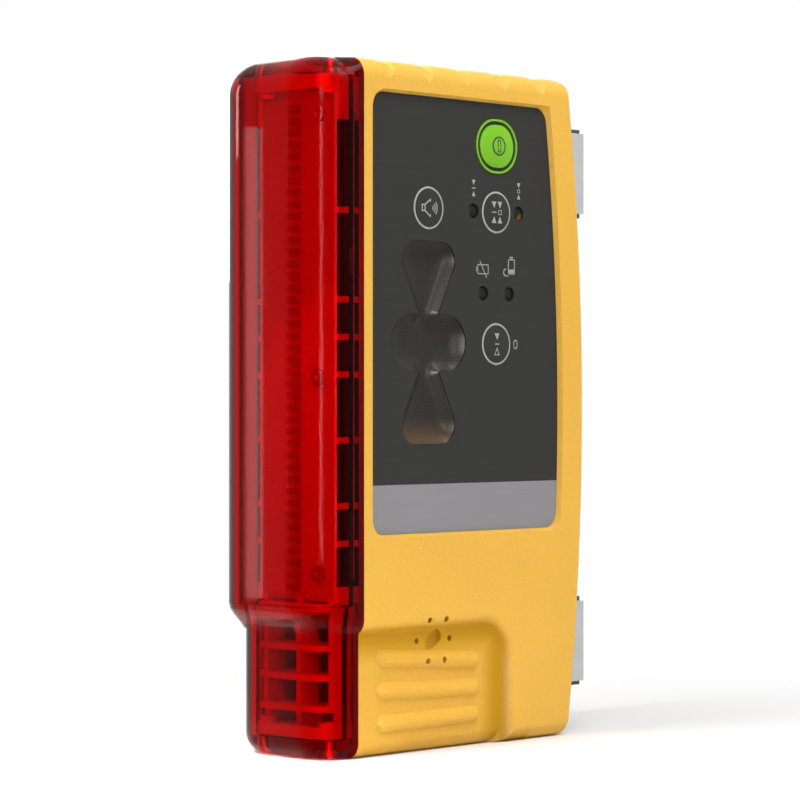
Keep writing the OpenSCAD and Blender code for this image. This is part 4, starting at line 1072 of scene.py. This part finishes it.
# Softboxes in front, above and behind, and strips that draw the highlights of the lens and the display.
LAMPS = (
    Lamp("key_box", (0.4, -0.5, 1.05), (0.45, 0.45), 5.9),
    Lamp("top_box", (-0.1, -0.34, 0.7), (0.5, 0.35), 3.0),
    Lamp("rear_box", (0.6, 0.9, 0.5), (0.7, 0.7), 3.5),
    Lamp("fill_box", (-0.75, -0.55, 0.55), (0.5, 0.5), 1.5, Shine.MATT),
    Lamp("lens_box", (-0.16, 0.01, 0.192), (0.06, 0.06), 0.95, Shine.MATT, (-0.045, 0, 0.165)),
    Lamp("foot_box", (-0.16, 0.015, 0.025), (0.05, 0.05), 0.2, Shine.MATT, (-0.045, 0, 0.02)),
    Lamp("face_strip", (0.03, -1.0, 0.2), (0.1, 0.5), 4.0, Shine.GLOSS),
    Lamp("near_strip", (-0.56, -0.76, 0.12), (0.13, 0.6), 24.0, Shine.GLOSS),
    Lamp("edge_strip", (-0.79, 0.5, 0.12), (0.025, 0.6), 0.6, Shine.GLOSS),
    Lamp("left_box", (-0.51, 0.89, 0.40), (0.16, 0.33), 2.6, Shine.GLOSS),
    Lamp("lens_strip", (-0.4597, 0.4445, 0.108), (0.0075, 0.22), 0.06, Shine.GLOSS),
)


@dataclass
class Studio:
    """Floor, world, lamps and camera, in metres and degrees."""

    aim: Place = (0, 0, 0.09)
    camera_place: Place = (-0.5581, -0.5454, 0.092)
    camera_turn: float = -45.5
    focal_mm: float = 130.5
    sensor_mm: float = 36.0
    clip: Point = (0.01, 50.0)
    sky: float = 0.2
    sky_tone: Colour = (1, 0.99, 0.97)
    white: Colour = (1, 1, 1)
    floor_tone: Colour = (0.74, 0.74, 0.74)
    floor_half: float = 4.0
    floor_fade: Point = (0.05, 0.24)

    def build(self) -> None:
        """Builds the stage."""
        self._world()
        self._floor()
        for lamp in LAMPS:
            self._light(lamp)
        self._camera()

    def _world(self) -> None:
        """White to the camera, in gloss and through glass; soft grey light otherwise."""
        world = bpy.data.worlds.new("studio_world")
        bpy.context.scene.world = world
        world.use_nodes = True
        graph = Graph(world.node_tree)
        light = graph.tree.nodes["Background"]
        graph.feed(light.inputs["Color"], self.sky_tone)
        graph.feed(light.inputs["Strength"], self.sky)
        white = graph.add("ShaderNodeBackground", {"Color": self.white, "Strength": 1.0})
        shown = graph.either(graph.seen(), light, white)
        graph.feed(graph.tree.nodes["World Output"].inputs["Surface"], shown.outputs[0])

    def _floor(self) -> None:
        """Pale floor that keeps the shadow near the object and fades to white far from it."""
        bm = bmesh.new()
        bmesh.ops.create_grid(bm, x_segments=8, y_segments=8, size=self.floor_half)
        mesh = bpy.data.meshes.new("floor")
        bm.to_mesh(mesh)
        bm.free()
        floor = bpy.data.objects.new("floor", mesh)
        bpy.context.scene.collection.objects.link(floor)
        skin = Skin("pale_floor")
        skin.paint(Base_Color=self.floor_tone, Roughness=0.9, Specular_IOR_Level=0.1)
        away = skin.add("ShaderNodeVectorMath", {0: skin.place()}, operation="LENGTH")
        far = skin.span(away.outputs["Value"], 0.0, 1.0, *self.floor_fade)
        far.node.interpolation_type = "SMOOTHSTEP"
        white = skin.add("ShaderNodeEmission", {"Color": self.white, "Strength": 1.0})
        faded = skin.maths("MULTIPLY", far, skin.seen())
        shown = skin.either(faded, skin.shader, white)
        skin.feed(skin.output.inputs["Surface"], shown.outputs[0])
        mesh.materials.append(skin.material)

    def _light(self, lamp: Lamp) -> None:
        """Adds a lamp.

        Args:
            lamp: What it is.
        """
        data = bpy.data.lights.new(lamp.name, "AREA")
        data.shape = "RECTANGLE"
        data.size, data.size_y = lamp.size
        data.energy = lamp.power
        light = bpy.data.objects.new(lamp.name, data)
        light.location = lamp.place
        ray = Vector(lamp.aim or self.aim) - Vector(lamp.place)
        light.rotation_euler = ray.to_track_quat("-Z", "Y").to_euler()
        light.visible_transmission = False
        light.visible_diffuse = lamp.shine is not Shine.GLOSS
        light.visible_glossy = lamp.shine is not Shine.MATT
        bpy.context.scene.collection.objects.link(light)

    def _camera(self) -> None:
        """Level camera at the photograph's place."""
        data = bpy.data.cameras.new("camera")
        data.lens = self.focal_mm
        data.sensor_width = self.sensor_mm
        data.clip_start, data.clip_end = self.clip
        camera = bpy.data.objects.new("camera", data)
        camera.location = self.camera_place
        camera.rotation_euler = (math.radians(90), 0, math.radians(self.camera_turn))
        bpy.context.scene.collection.objects.link(camera)
        bpy.context.scene.camera = camera


@dataclass
class Layout:
    """Places that the finishes and the marks take from the frame: points in mm, the rest in metres."""

    display_half: float = 26.5
    battery_spread: float = 5.1
    lit_shift: Point = (0.5, 0.8)
    lens_flange: float = 0.004
    board_drop: float = 0.001
    frame_cap: float = 0.003
    rung_inset: float = 0.006
    rung_shares: tuple[float, ...] = (0.07, 0.15, 0.29, 0.43, 0.51, 0.59, 0.78)
    precision: Point = field(init=False)
    precision_lamps: tuple[Point, Point] = field(init=False)
    battery_lamps: tuple[Point, Point] = field(init=False)
    lit: Vector = field(init=False)
    rungs: tuple[float, ...] = field(init=False)
    display_foot: float = field(init=False)
    bond_x: float = field(init=False)

    def __post_init__(self) -> None:
        """Reads the lamps, the rungs and the ends of the display and the lens off their nodes' boxes."""
        low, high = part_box("status_leds")
        u, v = self.precision = middle("precision_key")
        lamp_r = high.z / MM - v
        spread = (high.x - low.x) / MM / 2 - lamp_r
        row = low.z / MM + lamp_r
        self.precision_lamps = ((u - spread, v), (u + spread, v))
        self.battery_lamps = ((u - self.battery_spread, row), (u + self.battery_spread, row))
        right, down = (share * lamp_r for share in self.lit_shift)
        self.lit = Vector(((u + spread + right) * MM, low.y, (v - down) * MM))
        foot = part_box("receiver_board")[0].z - self.board_drop
        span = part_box("receiver_frame")[1].z - self.frame_cap - foot - 2 * self.rung_inset
        self.rungs = tuple(foot + self.rung_inset + share * span for share in self.rung_shares)
        self.display_foot = (middle("display_window")[1] - self.display_half) * MM
        self.bond_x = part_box("lens")[1].x - self.lens_flange


def middle(node: str) -> Point:
    """Middle of a CAD node across its face: X and Z, in mm."""
    low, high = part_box(node)
    return (low.x + high.x) / 2 / MM, (low.z + high.z) / 2 / MM


def finishes(layout: Layout) -> dict[str, Finish]:
    """Finish of each material slot of the record.

    Args:
        layout: Places from the frame.

    Returns:
        Finishes by slot.
    """
    return {
        # The shell's third colour is the recess's deeper tone, partly painted shade.
        "shell": ShellMoulding(
            "yellow_moulding", (0.62, 0.33, 0.026), (0.90, 0.53, 0.10), (0.50, 0.25, 0.001),
            face_y=0.0199, floor_y=0.0186, recess_top=0.046, recess_end=0.027,
        ),
        "lens": ClearRed(
            "red_lens", (0.64, 0.003, 0.004), (0.94, 0.02, 0.02), (0.5, 0.48, 0.455), layout.bond_x
        ),
        "seal": MouldedPlastic("silicone_seal", (0.46, 0.44, 0.42), (0.56, 0.54, 0.51), 0.6),
        "fastener": PlatedMetal("plated_screw", (0.55, 0.55, 0.56), (0.72, 0.72, 0.73), 0.28),
        # The frame's third colour is painted shade for the gaps between its rungs.
        "frame_moulding": LadderMoulding(
            "pale_moulding", (0.62, 0.60, 0.55), (0.72, 0.70, 0.64), (0.008, 0.008, 0.008),
            rail_y=0.0139, rungs=layout.rungs,
        ),
        "sensor_board": LacqueredBoard("sensor_lacquer", (0.42, 0.40, 0.35), (0.5, 0.47, 0.4)),
        "photodiode": MouldedPlastic("clear_epoxy", (0.27, 0.255, 0.225), (0.34, 0.32, 0.285), 0.3),
        "panel": PrintedFilm(
            "dark_film", (0.023, 0.023, 0.021), (0.030, 0.030, 0.0275), (0.45, 0.55), specular=0.12
        ),
        "band": PrintedFilm("grey_film", (0.225, 0.22, 0.232), (0.252, 0.247, 0.258)),
        # The window's third colour is a painted brownish reflection at its foot.
        "display": SmokedWindow(
            "smoked_window", (0.0015, 0.0013, 0.0012), (0.046, 0.040, 0.037), (0.10, 0.052, 0.014),
            layout.display_foot,
        ),
        "power_key": MouldedPlastic(
            "green_key", (0.15, 0.44, 0.006), (0.19, 0.51, 0.010), 0.36,
            cells=900.0, drift=60.0, depth=0.000006, specular=0.25,
        ),
        "key": MouldedPlastic(
            "dark_key", (0.021, 0.021, 0.019), (0.033, 0.033, 0.030), 0.5,
            cells=2000.0, drift=60.0, specular=0.12,
        ),
        "main_board": LacqueredBoard("green_lacquer", (0.01, 0.08, 0.03), (0.02, 0.13, 0.05)),
        "component": MouldedPlastic("black_component", (0.014, 0.014, 0.015), (0.028, 0.028, 0.03), 0.5),
        "led": MouldedPlastic("milky_cap", (0.62, 0.62, 0.56), (0.75, 0.75, 0.68), 0.3),
        "lamp": StatusLamp("status_lamp", (0.006, 0.006, 0.006), (0.26, 0.11, 0.008), layout.lit),
        "tray": MouldedPlastic("black_tray", (0.018, 0.018, 0.018), (0.032, 0.032, 0.032), 0.5),
        "cell": CellJacket(
            "cell_jacket", (0.06, 0.066, 0.075), (0.6, 0.6, 0.58), middle=0.08875, reach=0.0205
        ),
        "contact": PlatedMetal("nickel_contact", (0.6, 0.59, 0.56), (0.75, 0.74, 0.7), 0.3),
        "latch": MouldedPlastic("black_latch", (0.016, 0.016, 0.016), (0.03, 0.03, 0.03), 0.45),
        "channel": PlatedMetal("zinc_channel", (0.37, 0.37, 0.365), (0.47, 0.47, 0.46), 0.45, upright=1.0),
        "ferrite": GroundFerrite("ground_ferrite", (0.012, 0.012, 0.012), (0.05, 0.05, 0.05)),
    }


PALE_INK = MouldedPlastic("pale_ink", (0.27, 0.27, 0.265), (0.36, 0.36, 0.35), 0.55)
DARK_INK = MouldedPlastic("dark_ink", (0.02, 0.05, 0.008), (0.03, 0.07, 0.012), 0.45)


def dress_nodes(frame: dict, materials: dict[str, bpy.types.Material]) -> None:
    """Gives each CAD node the finish of its slot.

    Args:
        materials: Materials by slot.
    """
    for part in frame["record"]["subparts"]:
        node = frame["nodes"][part["node"]]
        node.data.materials.clear()
        node.data.materials.append(materials[part["material_slot"]])
        LOG.info("%s: %s", part["node"], part["material_slot"])


def main() -> None:
    """Loads the frame, dresses it and builds the stage."""
    logging.basicConfig(level=logging.INFO, format="%(name)s %(message)s")
    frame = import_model()
    bpy.context.scene.view_settings.view_transform = "Standard"
    effects = SharedEffects()
    layout = Layout()
    materials = {slot: finish.make(effects) for slot, finish in finishes(layout).items()}
    dress_nodes(frame, materials)
    Keypad(
        pale=PALE_INK.make(effects),
        dark=DARK_INK.make(effects),
        panel_y=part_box("keypad_panel")[0].y / MM,
        key_front=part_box("zero_key")[0].y / MM,
        power_front=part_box("power_key")[0].y / MM,
        power=middle("power_key"),
        volume=middle("volume_key"),
        precision=layout.precision,
        zero=middle("zero_key"),
        precision_lamps=layout.precision_lamps,
        battery_lamps=layout.battery_lamps,
    ).build()
    front, back = (corner.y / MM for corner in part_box("display_window"))
    window = DisplayWindow(middle("display_window"), front, back, layout.display_half)
    window.build(materials["display"])
    Studio().build()


if __name__ == "__main__":
    main()
